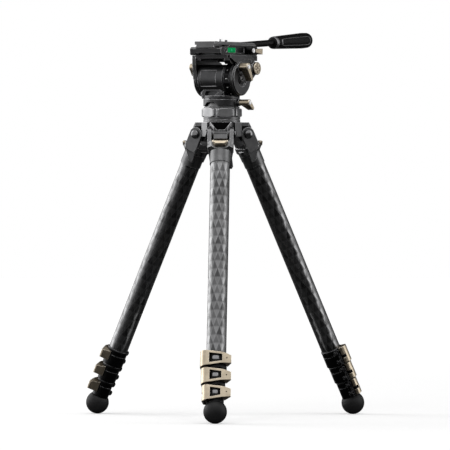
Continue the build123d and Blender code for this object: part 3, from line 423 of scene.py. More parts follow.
def leaning_normal(group, half, lean):
    """The true normal plus the tangent round the tube times (half - 1/2) lean, made unit."""
    slope = math_node(group, "MULTIPLY_ADD", half, lean, math_node(group, "MULTIPLY", lean, -0.5))
    tangent = add_node(group, "ShaderNodeTangent", direction_type="UV_MAP", uv_map=TUBE_MAP)
    geometry = add_node(group, "ShaderNodeNewGeometry")
    terms = tangent.outputs["Tangent"], slope, geometry.outputs["Normal"]
    return vector_node(group, "NORMALIZE", vector_node(group, "MULTIPLY_ADD", *terms))


# %% Carbon lattice
def lattice_group():
    """From u and v: a = n u + v/h and b = n u - v/h. Their whole parts number the diamonds,
    and their remainders say where in a diamond a point lies: their difference grows up the
    diamond, and either one near 0 or 1 is close to an edge. The normal leans round the tube
    by +-Lean/2, one way in each diamond's upper half and the other way in its lower half,
    because the tows there run at different angles."""
    group, given, result = new_group(
        "carbon lattice",
        [("Map", "NodeSocketVector", (0, 0, 0)), ("Around", "NodeSocketFloat", 10.0),
         ("Height", "NodeSocketFloat", 0.029), ("Lean", "NodeSocketFloat", 0.09)],
        [("Shade", "NodeSocketFloat"), ("Tow", "NodeSocketFloat"), ("Normal", "NodeSocketVector")],
    )
    link = group.links.new
    part = add_node(group, "ShaderNodeSeparateXYZ")
    link(given.outputs["Map"], part.inputs[0])
    turns = math_node(group, "MULTIPLY", part.outputs["X"], given.outputs["Around"])
    steps = math_node(group, "DIVIDE", part.outputs["Y"], given.outputs["Height"])
    cell = add_node(group, "ShaderNodeCombineXYZ")
    rest = []
    for operation, axis in (("ADD", "X"), ("SUBTRACT", "Y")):
        slanted = math_node(group, operation, turns, steps)
        link(math_node(group, "FLOOR", slanted), cell.inputs[axis])
        rest.append(math_node(group, "FRACT", slanted))
    half = map_range(group, math_node(group, "SUBTRACT", *rest), *HALF_SPAN, 1.0, 0.0)
    link(diamond_shade(group, cell, rest, half), result.inputs["Shade"])
    stretch = add_node(group, "ShaderNodeMapping", Scale=TOW_SCALE)
    link(given.outputs["Map"], stretch.inputs["Vector"])
    tows = add_node(group, "ShaderNodeTexNoise", Scale=1.0, Detail=2.0)
    link(stretch.outputs[0], tows.inputs["Vector"])
    link(tows.outputs["Fac"], result.inputs["Tow"])
    link(leaning_normal(group, half, given.outputs["Lean"]), result.inputs["Normal"])
    return group


LATTICE = lattice_group()
print("node group:", LATTICE.name)


# %% Carbon finish
def carbon_finish():
    """Lattice shade plus fine tows, the paler ones smoother, under a clear coat."""
    material, tree, shader = new_material(
        "wound carbon", Base_Color=cool(0.05, 0.052), Metallic=1.0,
        Coat_Weight=1.0, Coat_Roughness=0.10,
    )
    link = tree.links.new
    own_map = add_node(tree, "ShaderNodeUVMap", uv_map=TUBE_MAP)
    lattice = place_group(tree, LATTICE)
    link(own_map.outputs["UV"], lattice.inputs["Map"])
    fine = map_range(tree, lattice.outputs["Tow"], *NARROW_SPAN, *TOW_TONES)
    mixed = math_node(tree, "ADD", lattice.outputs["Shade"], fine, clamp=True)
    dark, light = cool(0.008, 0.0085), cool(0.20, 0.204)
    link(mix_colour(tree, mixed, dark, light), shader.inputs["Base Color"])
    link(map_range(tree, mixed, 0.0, 1.0, *TOW_GLOSS), shader.inputs["Roughness"])
    link(lattice.outputs["Normal"], shader.inputs["Normal"])
    return material


carbon = carbon_finish()
print(carbon.name, "reads the UV map", TUBE_MAP)


# %% [markdown]
# ## Rubber, level and ink
#
# The feet and the grip are moulded rubber: dark, dull, with a faint skin from the mould. The
# level's liquid is green, and the few marks are white ink. None of them needs more than a
# colour that varies a little.


# %% Soft finishes
PALER, PALE_SHARE = 2.2, 0.35


def moulded_rubber(name, colour, gloss, shine):
    """Dull rubber with a pebbled skin; patches of it are up to a third of the way to a paler
    tone."""
    material, tree, shader = new_material(name, Base_Color=colour, Specular_IOR_Level=shine)
    edges = place_group(tree, SOFT_EDGES, Radius=0.0005)
    grain = place_group(tree, GRAIN, Fine=1500.0, Coarse=45.0)
    pale = tuple(PALER * value for value in colour[:3]) + (1,)
    patches = map_range(tree, grain.outputs["Patches"], *NOISE_SPAN, 0.0, PALE_SHARE)
    tree.links.new(mix_colour(tree, patches, colour, pale), shader.inputs["Base Color"])
    grained(tree, shader, edges, grain, gloss, strength=0.35, distance=0.00012)
    return material


def plain_finish(name, colour, variation, **sockets):
    """A smooth finish with a slight cloudiness in its colour."""
    material, tree, shader = new_material(name, Base_Color=colour, **sockets)
    grain = place_group(tree, GRAIN, Coarse=220.0)
    cloudy = tuple(value * variation for value in colour[:3]) + (1,)
    patches = map_range(tree, grain.outputs["Patches"], *NOISE_SPAN, 0.0, 1.0)
    tree.links.new(mix_colour(tree, patches, colour, cloudy), shader.inputs["Base Color"])
    return material


foot_rubber = moulded_rubber("foot rubber", cool(0.007, 0.0074), (0.50, 0.62), shine=0.24)
grip_rubber = moulded_rubber("grip rubber", cool(0.0025, 0.0027), (0.34, 0.44), shine=0.12)
level_green = plain_finish(
    "level green", (0.0, 0.40, 0.11, 1), 0.7, Roughness=0.6, Specular_IOR_Level=0.05
)
level_bubble = plain_finish(
    "level bubble", (0.02, 0.52, 0.20, 1), 0.8, Roughness=0.5, Specular_IOR_Level=0.1
)
# Deep black is the level's printed lines and the painted shade plates in the crown's pockets.
deep_black = plain_finish(
    "deep black", (0.002, 0.002, 0.002, 1), 0.6, Roughness=0.7, Specular_IOR_Level=0.05
)
white_ink = plain_finish("white ink", (0.85, 0.85, 0.84, 1), 0.94, Roughness=0.55)


# %% Which finish goes where
FINISHES = {
    "black_metal": drum_metal, "champagne_metal": champagne_metal, "steel": steel,
    "carbon": carbon, "foot_rubber": foot_rubber, "grip_rubber": grip_rubber,
    "level_vial": level_green,
}
OWN_FINISH = {
    "level_ring": ring_metal, "side_plates": bracket_metal, "platform": clamp_metal,
    "quick_plate": plate_metal,
}
OWN_FINISH |= dict.fromkeys(("crown", "pan_base"), graphite_metal)
blackest = ("drag_dial", "handle_arm", "tie_down_knob", "tilt_shaft", "leg_pins")
OWN_FINISH |= dict.fromkeys(blackest, black_metal)
print(len(OWN_FINISH), "pieces have a finish of their own")


# %% [markdown]
# The plate's lock lever has a black hub and a champagne blade in one casting. It could be cut
# in two, but paint follows its own rule just as well: near the lever's axis the metal is black.


# %% A lever with a black hub
HUB_BLEND = 0.0002


def black_hub(material, place, radius, black):
    """Paint a metal black within a radius of an axis along X: r^2 = (y - y0)^2 + (z - z0)^2."""
    tree = material.node_tree
    base = tree.nodes["Principled BSDF"].inputs["Base Color"]
    here = add_node(tree, "ShaderNodeTexCoord")
    offset = vector_node(tree, "SUBTRACT", here.outputs["Object"], place)
    reach = vector_node(tree, "LENGTH", vector_node(tree, "MULTIPLY", offset, (0, 1, 1)))
    mask = map_range(tree, reach, radius, radius + HUB_BLEND, 0.0, 1.0)
    tree.links.new(mix_colour(tree, mask, black, base.links[0].from_socket), base)


hub_radius, hub_place = 0.0066, joints["plate_lock_turn"]["pos_m"]
plate_lock_metal = champagne("plate lock")
black_hub(plate_lock_metal, hub_place, hub_radius, cool(0.012, 0.0125))
OWN_FINISH["plate_lock_lever"] = plate_lock_metal
print(f"plate lock lever black within {1000 * hub_radius:.1f} mm of its axis")


# %% Finish the frame's own pieces
slot_of = {part["node"]: part["material_slot"] for part in frame["record"]["subparts"]}


def finish_of(name):
    """A node's own finish, or the one of its material slot."""
    if name.endswith("_yoke"):
        return graphite_metal
    if "_collar_" in name:
        return black_metal
    return OWN_FINISH.get(name, FINISHES[slot_of[name]])


for name, node in nodes.items():
    if not node.material_slots:
        node.data.materials.append(finish_of(name))
    for slot in node.material_slots:
        slot.material = finish_of(name)
print(len(nodes), "frame pieces finished")


# %% [markdown]
# ## Leg frames
#
# Everything on a leg is worked out in the leg's own axes: z up along the leg, x to the right
# seen from outside, and y inwards. The frame's joints give them: the hinge has the origin and
# x, and the inner tubes slide down the leg.


# %% Axes of a leg
def mesh_points(name):
    """All vertices of a frame piece."""
    mesh = nodes[name].data
    points = np.empty(len(mesh.vertices) * 3)
    mesh.vertices.foreach_get("co", points)
    return points.reshape(-1, 3)


def leg_axes(side):
    """Origin, x axis and z axis of a leg, from its hinge and its first slide."""
    hinge = joints[f"{side}_leg_hinge"]
    slide = joints[f"{side}_leg_slide_2"]
    return np.array(hinge["pos_m"]), -np.array(hinge["axis"]), -np.array(slide["axis"])


def in_leg(side, node_name):
    """Vertices of a frame piece in its leg's axes."""
    origin, x_axis, z_axis = leg_axes(side)
    axes = np.stack([x_axis, np.cross(z_axis, x_axis), z_axis])
    return (mesh_points(node_name) - origin) @ axes.T


def body_of(side, number):
    """The body that a leg's tube and its collar ride on."""
    return f"{side}_leg_upper" if number == 1 else f"{side}_leg_section_{number}"


for side in SIDES:
    print(f"{side} leg's hinge at", [round(v, 4) for v in leg_axes(side)[0]])


# %% [markdown]
# ## Carbon tubes
#
# Each tube is one closed skin: down the outside, over the lip, up the bore and back. Its radius,
# wall and ends are measured on the frame's plain tube, so it slides in the next one as that
# does. The UV map is written with the same grid: u from the column, v from the height.


# %% Tubes with their own map
TUBE_STEPS = 64


def write_tube_map(mesh, quads, height):
    """u = column / columns and v = height. In the last strip the first column counts as one
    past the last, so that u doesn't run backwards there."""
    column = quads % TUBE_STEPS
    seam = column.max(axis=1, keepdims=True) == TUBE_STEPS - 1
    column = np.where((column == 0) & seam, TUBE_STEPS, column)
    uv = np.stack([column / TUBE_STEPS, height], axis=-1)
    mesh.uv_layers.new(name=TUBE_MAP).data.foreach_set("uv", uv.reshape(-1))


def carbon_tube(side, number):
    """Profile of outer wall, bevelled lips a quarter of the wall wide and bore, turned and
    closed on itself."""
    node_name, name = f"{side}_leg_tube_{number}", f"{side}_carbon_tube_{number}"
    points = in_leg(side, node_name)
    radius = np.hypot(points[:, 0], points[:, 1])
    outer, inner = radius.max(), radius.min()
    low, high = points[:, 2].min(), points[:, 2].max()
    lip = (outer - inner) / 4
    profile = np.array([
        (inner, low + lip), (inner + lip, low), (outer - lip, low), (outer, low + lip),
        (outer, high - lip), (outer - lip, high), (inner + lip, high), (inner, high - lip),
    ])
    own = turned(profile, TUBE_STEPS)
    quads = grid_quads(len(profile), TUBE_STEPS, ring=True)
    mesh = new_mesh(name, placed(own, *leg_axes(side)), quads)
    write_tube_map(mesh, quads, own.reshape(-1, 3)[quads, 2])
    shade(mesh, 40)
    tube = add_piece(name, mesh, body_of(side, number), carbon)
    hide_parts(node_name)
    return outer, high - low


for side in SIDES:
    for number in (1, 2, 3, 4):
        radius, length = carbon_tube(side, number)
        print(f"{side} tube {number}: {2000 * radius:.1f} mm across, {1000 * length:.0f} mm long")


# %% [markdown]
# ## Ball feet
#
# A ball foot is moulded rubber, flat on top round its socket, with rings of tread on the side
# that meets the floor. It is a profile turned about the leg, and the tread is a small ripple
# in its radius that fades out towards the top.


# %% Feet
SOCKET_DEPTH, TOP_EDGE, RIM_EASE = 0.008, 0.001, 0.0006
TREAD_DEPTH, TREAD_RINGS, TREAD_START, TREAD_END, TREAD_FADE = 0.010, 34, 0.12, 1.15, 0.5


def tread(angle):
    """Ripple of the radius: 1 - depth fade(a) ((1 + cos n a) / 2)^3, from a start angle on."""
    fade = np.clip((TREAD_END - angle) / TREAD_FADE, 0, 1)
    wave = (0.5 + 0.5 * np.cos(angle * TREAD_RINGS)) ** 3
    return 1 - TREAD_DEPTH * fade * wave * (angle > TREAD_START)


def ball_foot(side):
    """Ball of radius R with its top cut flat: r = R sin a, z = -R cos a, and a ripple of the
    radius over the lowest third."""
    node_name = f"{side}_leg_foot"
    points = in_leg(side, node_name)
    radius, height = np.hypot(points[:, 0], points[:, 1]), points[:, 2]
    ball, top = radius.max(), height.max()
    centre = height.min() + ball
    bore = radius[height > top - 10 * MICROMETRE].min()
    angle = np.linspace(0, np.arccos((centre - top) / ball), 90)
    skin = ball * tread(angle)[:, None] * np.stack([np.sin(angle), -np.cos(angle)], axis=-1)
    skin[:, 1] += centre
    floor = top - SOCKET_DEPTH
    edge = (skin[-1, 0] - TOP_EDGE, top)
    rim = eased([skin[-1], edge, (bore, top), (bore, floor), (0, floor)], RIM_EASE)
    profile = np.concatenate([skin[:-1], rim])
    grid = placed(turned(profile, 96), *leg_axes(side))
    body = body_of(side, 4)
    foot = make_piece(f"{side}_ball_foot", [grid], body, foot_rubber)
    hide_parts(node_name)
    return ball


for side in SIDES:
    print(f"{side} foot: {2000 * ball_foot(side):.0f} mm across")


# %% [markdown]
# ## Handle grip
#
# The grip swells from a narrow mouth to a full, rounded butt, and a long panel is pressed into
# each flank. The frame's grip is turned in straight steps, so its radius is measured and
# smoothed into one curve. The panels are a dip in that radius: a smooth step in the angle
# times a smooth step along the length.


# %% Grip axes and profile
def smooth_step(value):
    """0 below 0, 1 above 1, and 3v^2 - 2v^3 between."""
    v = np.clip(value, 0, 1)
    return v * v * (3 - 2 * v)


def grip_axes(front_depth=0.003, rear_depth=0.012):
    """The grip's points, the middle of its front end, and the direction from there to the
    middle of its rear end."""
    points = mesh_points("handle_grip")
    along = points[:, 1]
    first = points[along < along.min() + front_depth]
    last = points[along > along.max() - rear_depth]
    start = (first.min(axis=0) + first.max(axis=0)) / 2
    end = (last.min(axis=0) + last.max(axis=0)) / 2
    return points, start, (end - start) / np.linalg.norm(end - start)


def grip_profile(points, start, direction, steps=150, window=15, bore=0.0085):
    """Front and length of the grip, even places along it from 0 to 1, and its radius there:
    points further out than the bore, joined up and smoothed by a bell over the window."""
    reach = (points - start) @ direction
    low, length = reach.min(), reach.max() - reach.min()
    radius = np.linalg.norm(points - start - reach[:, None] * direction, axis=1)
    order = np.argsort(reach)
    places, outer = (reach[order] - low) / length, radius[order]
    shell = outer > bore
    s = np.linspace(0, 1, steps)
    swell = np.interp(s, places[shell], outer[shell])
    bell = np.hanning(window) / np.hanning(window).sum()
    smooth = np.convolve(np.pad(swell, window // 2, mode="edge"), bell, mode="valid")
    return start + direction * low, length, s, smooth


grip_points, grip_start, grip_direction = grip_axes()
grip_start, grip_length, grip_s, grip_swell = grip_profile(grip_points, grip_start, grip_direction)
print(f"grip {1000 * grip_length:.0f} mm long, {1000 * grip_swell.min():.1f} to "
      f"{1000 * grip_swell.max():.1f} mm in radius")


# %% Grip
# Places along the grip are shares of its length, and a panel's edge is a cosine.
PANEL_DEPTH, PANEL_EDGE, PANEL_START, PANEL_END = 0.0011, 0.84, 0.13, 0.86
PANEL_SIDE, PANEL_TIP = 0.05, 0.02
BUTT_START, MOUTH_END, MOUTH_DEPTH = 0.91, 0.014, 0.12


def grip_surface(s, swell, angle):
    """radius = swell(s) * butt(s) * mouth(s) - depth * step(angle) * step(s), where the butt is
    a quarter ellipse and the mouth a small bevel."""
    butt = np.sqrt(np.clip(1 - np.clip((s - BUTT_START) / (1 - BUTT_START), 0, 1) ** 2, 0, 1))
    mouth = 1 - MOUTH_DEPTH * np.clip(1 - s / MOUTH_END, 0, 1) ** 2
    panel = smooth_step((np.abs(np.cos(angle)) - PANEL_EDGE) / PANEL_SIDE)
    span = smooth_step((s - PANEL_START) / PANEL_TIP) * smooth_step((PANEL_END - s) / PANEL_TIP)
    return swell * butt * mouth - PANEL_DEPTH * panel * span


def on_grip(radius, angle, s):
    """Points at a radius and an angle round the grip's axis, s of its length along it."""
    height = grip_length * s * np.ones_like(angle)
    own = np.stack([radius * np.cos(angle), radius * np.sin(angle), height], axis=-1)
    return placed(own, grip_start, (1, 0, 0), grip_direction)


grip_angle = np.linspace(0, 2 * np.pi, 144, endpoint=False)
grip_radius = grip_surface(grip_s[:, None], grip_swell[:, None], grip_angle)
grip_grid = on_grip(grip_radius, grip_angle, grip_s[:, None])
grip = make_piece("rubber_grip", [grip_grid], "pan_handle", grip_rubber, sharp=60)
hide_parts("handle_grip")
print(f"rubber grip {2000 * grip_radius.max():.0f} mm across its butt")


# %% Rims of the grip's panels
RIM_WIDTH, RIM_EXTRA, RIM_RISE, PANEL_HALF_WIDTH = 0.0005, 0.0011, 0.0005, 0.006
RIM_SHIFT, RIM_MARGIN, RIM_INSET, UNDERSIDE, ROUNDNESS = 0.005, 0.008, 0.01, 0.965, 0.28
WIDER_FROM, WIDER_OVER = 0.2, 0.6


def squared(value, power):
    """sign(v) |v|^power: a power below 1 bends a circle's sine and cosine to a square's."""
    return np.sign(value) * np.abs(value) ** power


def panel_rim(side, steps=120, rows=7):
    """A bead laid round a panel: a rounded rectangle in (angle, s), lifted by a half circle
    across its width. It is wider at the mouth's end, and its underside lies in the rubber."""
    t = np.linspace(0, 2 * np.pi, steps, endpoint=False)
    half_turn = math.acos(PANEL_EDGE + RIM_INSET)
    centre = (PANEL_START + PANEL_END) / 2 + RIM_SHIFT
    reach = (PANEL_END - PANEL_START) / 2 - RIM_MARGIN
    across = np.linspace(-1, 1, rows)[:, None]
    width = RIM_WIDTH + RIM_EXTRA * smooth_step((-np.cos(t) - WIDER_FROM) / WIDER_OVER)
    long, wide = squared(np.cos(t), ROUNDNESS), squared(np.sin(t), ROUNDNESS)
    s = centre + reach * long * (1 + across * width / (reach * grip_length))
    turn = half_turn * wide * (1 + across * RIM_WIDTH / PANEL_HALF_WIDTH)
    angle = turn + (0 if side > 0 else np.pi)
    lift = RIM_RISE * np.sqrt(np.clip(1 - across**2, 0, 1))
    top = grip_surface(s, np.interp(s, grip_s, grip_swell), np.pi / 2) + lift
    radius = np.concatenate([top, UNDERSIDE * top[::-1]])
    both = (np.concatenate([value, value[::-1]]) for value in (angle, s))
    return on_grip(radius, *both)


for side, name in ((1, "right"), (-1, "left")):
    rim, label = panel_rim(side), f"grip_rim_{name}"
    make_piece(label, [rim], "pan_handle", rim_metal, sharp=50, ring=True)
    print(f"{name} rim of {len(rim[0])} steps round the panel")


# %% Front band of the grip
# Places along the grip, as shares of its length, and the band's rise over the rubber there.
band_s = np.array([0.012, 0.012, 0.014, 0.018, 0.060, 0.066, 0.068, 0.068])
band_rise = np.array([-0.0008, 0.0001, 0.0004, 0.0005, 0.0005, 0.0004, 0.0001, -0.0008])
band_radius = np.interp(band_s, grip_s, grip_swell) + band_rise
band = turned(np.stack([band_radius, grip_length * band_s], axis=-1), 96)
band = placed(band, grip_start, (1, 0, 0), grip_direction)
make_piece("grip_band", [band], "pan_handle", rim_metal, sharp=40)
print(f"band {1000 * grip_length * np.ptp(band_s):.1f} mm wide")


# %% [markdown]
# ## Small pieces
#
# A few small pieces finish the castings. The first are round: glossy domes on the hinge pins,
# bright caps on the lock levers' hubs and a ring on the tilt axis. Each is a profile turned
# about its joint's axis. It sits on the frame's own surface, so its place is measured there,
# and it rides on the same body.


# %% Round caps and their places
UP = np.array([0, 0, 1.0])
CAP_EASE = 0.0002


def far_end(name, joint, way, radius):
    """End of a piece along a joint's axis (way is 1 or -1), within a radius of that axis."""
    origin, axis = np.array(joint["pos_m"]), way * np.array(joint["axis"])
    offset = mesh_points(name) - origin
    reach = offset @ axis
    near = np.linalg.norm(offset - reach[:, None] * axis, axis=1) < radius
    return origin + axis * reach[near].max(), axis


def dish(radius, rim, height, depth, bore):
    """Profile of a round cap: up its side, over the rim, and down a cone to a flat middle."""
    return eased([(0, 0), (radius, 0), (radius, height), (radius - rim, height),
                  (bore, height - depth), (0, height - depth)], CAP_EASE, 4)


def dome(radius, lift, height, steps=12):
    """Profile of a domed cap: up its side by lift, then a quarter ellipse to its middle."""
    turn = np.linspace(0, np.pi / 2, steps)[:-1]
    curve = np.stack([radius * np.cos(turn), lift + height * np.sin(turn)], axis=-1)
    return np.concatenate([[(0, 0), (radius, 0)], curve, [(0, lift + height)]])


def cap_at(place, axis, profile, steps):
    """A turned profile standing on a place, up an axis. Its x is any direction square to it."""
    side = np.cross(axis, (0, 0, 1)) if abs(axis[2]) < 0.9 else np.cross(axis, (1, 0, 0))
    return placed(turned(profile, steps), place, side / np.linalg.norm(side), axis)


# %% Caps of the hinge pins
pin_profile = dome(radius=0.0070, lift=0.0006, height=0.0024)
for side in SIDES:
    hinge = joints[f"{side}_leg_hinge"]
    for way, name in ((1, "a"), (-1, "b")):
        place, axis = far_end("leg_pins", hinge, way, radius=0.009)
        grid, label = cap_at(place, axis, pin_profile, 48), f"{side}_pin_cap_{name}"
        make_piece(label, [grid], "base", polished_black, sharp=24)
        print(label, "at", place.round(4))


# %% Caps of the lock levers
hub_profile = dish(radius=0.0039, rim=0.0004, height=0.0005, depth=0.0002, bore=0.0010)
for lever in ("tilt_lock", "pan_lock", "plate_lock", "balance"):
    node_name, joint = f"{lever}_lever", joints[f"{lever}_turn"]
    middle = mesh_points(node_name).mean(axis=0) - np.array(joint["pos_m"])
    way = 1 if middle @ np.array(joint["axis"]) > 0 else -1
    place, axis = far_end(node_name, joint, way, radius=0.0056)
    grid = cap_at(place, axis, hub_profile, 40)
    make_piece(f"{lever}_hub_cap", [grid], node_name, steel, sharp=30)
    print(f"{lever}_hub_cap at", place.round(4))


# %% Ring in the tilt axis
tilt = joints["tilt"]
place, axis = far_end("tilt_shaft", tilt, 1 if tilt["axis"][0] > 0 else -1, radius=0.010)
ring_profile = eased([(0, 0), (0.0062, 0), (0.0062, 0.0016), (0.0044, 0.0022), (0.0044, 0.0030),
                      (0.0022, 0.0030), (0.0022, 0.0018), (0, 0.0018)], CAP_EASE, 4)
ring_grid = cap_at(place, axis, ring_profile, 48)
make_piece("tilt_axis_cap", [ring_grid], "cradle", plate_metal, sharp=30)
print("tilt_axis_cap at", place.round(4))


# %% [markdown]
# ## Pads
#
# The collars' release buttons, the level's window and the dial's marks are all pads: a rounded
# outline with a slightly domed top. One surface makes them. It shrinks a superellipse, which
# lies between an ellipse and a rectangle, from the pad's edge to its middle.


# %% Pad surface
RIDGE_PITCH = 0.0011


def pad_surface(half_width, half_height, rise, ridge=0.0, rings=16, steps=64):
    """Rounded pad: a superellipse of power 5 shrunk by p from its edge to its middle, with a
    domed edge h = rise (1 - p^8) and fine ridges across it."""
    t = np.linspace(0, 2 * np.pi, steps, endpoint=False)
    p = np.sin(np.linspace(0, np.pi / 2, rings))[:, None]
    x, z = half_width * p * squared(np.cos(t), 0.4), half_height * p * squared(np.sin(t), 0.4)
    ridges = ridge * np.cos(2 * np.pi * z / RIDGE_PITCH) * (1 - p**4)
    top = np.stack([x, z, rise * (1 - p**8) + ridges], axis=-1)[::-1]
    base = np.stack([x[-1:], z[-1:], np.zeros_like(x[-1:])], axis=-1)
    return np.concatenate([base, top])


# %% Release buttons
FRONT_HALF_WIDTH, FACE_DEPTH, SUNK = 0.006, 0.0004, 0.0002
BUTTON_HALF_WIDTH, NARROWER = 0.0062, 0.0006


def release_button(side, number):
    """A ridged pad on the front of a collar, sunk by a fifth of a millimetre, narrower on the
    thinner tubes."""
    origin, x_axis, z_axis = leg_axes(side)
    out = np.cross(x_axis, z_axis)
    points = in_leg(side, f"{side}_leg_collar_{number}")
    middle = points[np.abs(points[:, 0]) < FRONT_HALF_WIDTH]
    face = middle[middle[:, 1] < middle[:, 1].min() + FACE_DEPTH]
    centre, front = (face[:, 2].min() + face[:, 2].max()) / 2, -middle[:, 1].min()
    half_width = BUTTON_HALF_WIDTH - NARROWER * number
    grid = pad_surface(half_width, half_height=0.0036, rise=0.0007, ridge=0.00005)
    place = origin + out * (front - SUNK) + z_axis * centre
    label, grid = f"{side}_button_{number}", placed(grid, place, x_axis, out)
    make_piece(label, [grid], body_of(side, number), button_metal, sharp=50)
    print(label, "at", place.round(4))


for side in SIDES:
    for number in (1, 2, 3):
        release_button(side, number)


# %% [markdown]
# Each lug of the crown has a deep pocket that hardly any light reaches. A thin black plate on
# its floor is painted shade that keeps it dark. The pocket's outline is measured, so the plate
# fits it.


# %% Crown pockets
# Metres from a leg's hinge: outwards to the pocket's floor, up to its lower edge, half its width.
POCKET_FLOOR, POCKET_LOW, POCKET_HALF_WIDTH = 0.001, 0.006, 0.017
PLATE_DEPTHS, PLATE_FIT, EDGE_DEPTH = (0.0009, 0.0016), 0.985, 0.0002


def painted_shade_plate(side):
    """Painted shade: a dark plate on the floor of a lug's pocket, to the outline measured
    there.
    """
    origin, x_axis, _ = leg_axes(side)
    out = np.cross(x_axis, UP)
    offset = mesh_points("crown") - origin
    x, depth, height = offset @ x_axis, offset @ out, offset @ UP
    floor = np.abs(depth - POCKET_FLOOR) < 0.1 * POCKET_FLOOR
    floor &= (height > POCKET_LOW) & (np.abs(x) < POCKET_HALF_WIDTH)
    x, height = np.abs(x[floor]), height[floor]
    low, high = height.min(), height.max()
    narrow, wide = x[height < low + EDGE_DEPTH].max(), x[height > high - EDGE_DEPTH].max()
    corners = np.array([(-wide, high), (-narrow, low), (narrow, low), (wide, high)])
    corners[:, 0] *= PLATE_FIT
    faces = [np.column_stack([corners, np.full(4, depth)]) for depth in PLATE_DEPTHS]
    return placed(np.stack(faces), origin, x_axis, out), 2 * wide, high - low


# Each pocket gets its plate of painted shade.
for side in SIDES:
    grid, width, height = painted_shade_plate(side)
    make_piece(f"{side}_painted_shade_plate", [grid], "base", deep_black, sharp=20)
    print(f"{side} pocket {1000 * width:.1f} x {1000 * height:.1f} mm")


# %% [markdown]
# The spirit level looks out through a window in the clamp's side: green liquid, a paler bubble
# between two black lines. Four pads of different rise, one over the other, show all of it.


# %% Spirit level's window
level_points = mesh_points("bubble_level")
level_low, level_high = level_points.min(axis=0), level_points.max(axis=0)
level_middle = (level_low + level_high) / 2
level_middle[0] = level_high[0]
level_half = (level_high - level_low) / 2
margin, line_place, window_sunk = 0.0006, 0.0036, 0.0001
window = (level_half[1] - margin, level_half[2] - margin, 0.0003)
line = (0.00035, level_half[2] - 0.0008, 0.0004)
# Each part has its name, its half width, half height and rise, its place, and its finish.
window_parts = [
    ("level_window", window, 0.0, level_green),
    ("level_bubble", (0.0024, 0.0019, 0.0005), 0.0, level_bubble),
    ("level_line_front", line, -line_place, deep_black),
    ("level_line_back", line, line_place, deep_black),
]
for name, shape, shift, finish in window_parts:
    place = level_middle + np.array([-window_sunk, shift, 0])
    grid = placed(pad_surface(*shape), place, (0, 1, 0), (1, 0, 0))
    make_piece(name, [grid], "cradle", finish, sharp=50)
print(f"level window {2000 * level_half[1]:.1f} x {2000 * level_half[2]:.1f} mm")


# %% [markdown]
# The drag dial has twelve flats, and each carries a short white mark, every third one longer.
# The marks are pads too, all in one mesh, because they are one print on one part.


# %% Marks of the drag dial
dial_points = mesh_points("drag_dial") - np.array(tilt["pos_m"])
dial_middle = (dial_points[:, 0].min() + dial_points[:, 0].max()) / 2
flats, flat_half_width, sunk = 12, 0.0055, 0.00001
long_mark, short_mark, mark_half_height, mark_rise = 0.0018, 0.0011, 0.00035, 0.00006
inner = np.abs(dial_points[:, 0] - dial_middle) < flat_half_width
marks = []
for number in range(flats):
    turn = 2 * math.pi * number / flats
    out = np.array([0, math.sin(turn), math.cos(turn)])
    flat_height = (dial_points[inner] @ out).max()
    half_width = long_mark if number % 3 == 0 else short_mark
    grid = pad_surface(half_width, mark_half_height, mark_rise, rings=5, steps=24)
    place = np.array(tilt["pos_m"]) + out * (flat_height - sunk)
    place[0] += dial_middle
    marks.append(placed(grid, place, (1, 0, 0), out))
make_piece("dial_marks", marks, "drag_dial", white_ink, sharp=50)
print(len(marks), "marks on the dial")


# %% [markdown]
# ## Floor, light and camera
#
# A pale floor runs out into a white room. A large soft lamp stands on each side, the left one
# stronger, and a third hangs in front and above. The camera stands far away with a long lens,
# level with the middle of the tripod, as for a catalogue.


# %% Floor
FLOOR_RADIUS, GLOW_REACH, GLOW_STRENGTH = 12.0, (0.5, 3.0), (0.33, 0.62)


def seen_directly(tree):
    """1 for rays from the camera, mirrors or glass, and 0 for light that falls on things."""
    rays = add_node(tree, "ShaderNodeLightPath")
    value = rays.outputs["Is Camera Ray"]
    for label in ("Is Glossy Ray", "Is Transmission Ray"):
        value = math_node(tree, "MAXIMUM", value, rays.outputs[label])
    return value


def pale_floor():
    """A wide disc. Its glow, which only the camera, mirrors and glass see, tops up the lamps'
    light so that the disc meets the white world, and grows from the middle outwards."""
    material, tree, shader = new_material(
        "pale floor", Base_Color=(0.8, 0.8, 0.8, 1), Roughness=1.0
    )
    link = tree.links.new
    glow = add_node(tree, "ShaderNodeEmission")
    place = add_node(tree, "ShaderNodeTexCoord")
    reach = vector_node(tree, "LENGTH", place.outputs["Object"])
    link(map_range(tree, reach, *GLOW_REACH, *GLOW_STRENGTH), glow.inputs["Strength"])
    none = add_node(tree, "ShaderNodeEmission", Strength=0.0)
    pick = add_node(tree, "ShaderNodeMixShader")
    feed(tree, pick.inputs, (seen_directly(tree), none.outputs[0], glow.outputs[0]))
    total = add_node(tree, "ShaderNodeAddShader")
    feed(tree, total.inputs, (shader.outputs[0], pick.outputs[0]))
    link(total.outputs[0], tree.nodes["Material Output"].inputs["Surface"])
    disc = turned([(0, 0), (FLOOR_RADIUS, 0)], 96)
    mesh = new_mesh("floor", disc, grid_quads(2, 96, ring=False))
    tidy_mesh(mesh, 30)
    in_scene("floor", mesh, material)


pale_floor()
print("floor", 2 * FLOOR_RADIUS, "m across")


# %% World
CAMERA_AZIMUTH = math.radians(32.5)
RIGHT = np.array([math.cos(CAMERA_AZIMUTH), math.sin(CAMERA_AZIMUTH), 0])
BACK = np.array([math.sin(CAMERA_AZIMUTH), -math.cos(CAMERA_AZIMUTH), 0])


def white_world(level):
    """White behind the object and in its reflections; a plain level of light otherwise."""
    world = bpy.data.worlds.new("studio")
    bpy.context.scene.world = world
    world.use_nodes = True
    tree = world.node_tree
    background = tree.nodes["Background"]
    background.inputs["Color"].default_value = (1, 1, 1, 1)
    strength = map_range(tree, seen_directly(tree), 0, 1, level, 1.0)
    tree.links.new(strength, background.inputs["Strength"])


WORLD_LEVEL = 0.5
white_world(WORLD_LEVEL)
print("world lights the tripod at", WORLD_LEVEL, "and shows white")


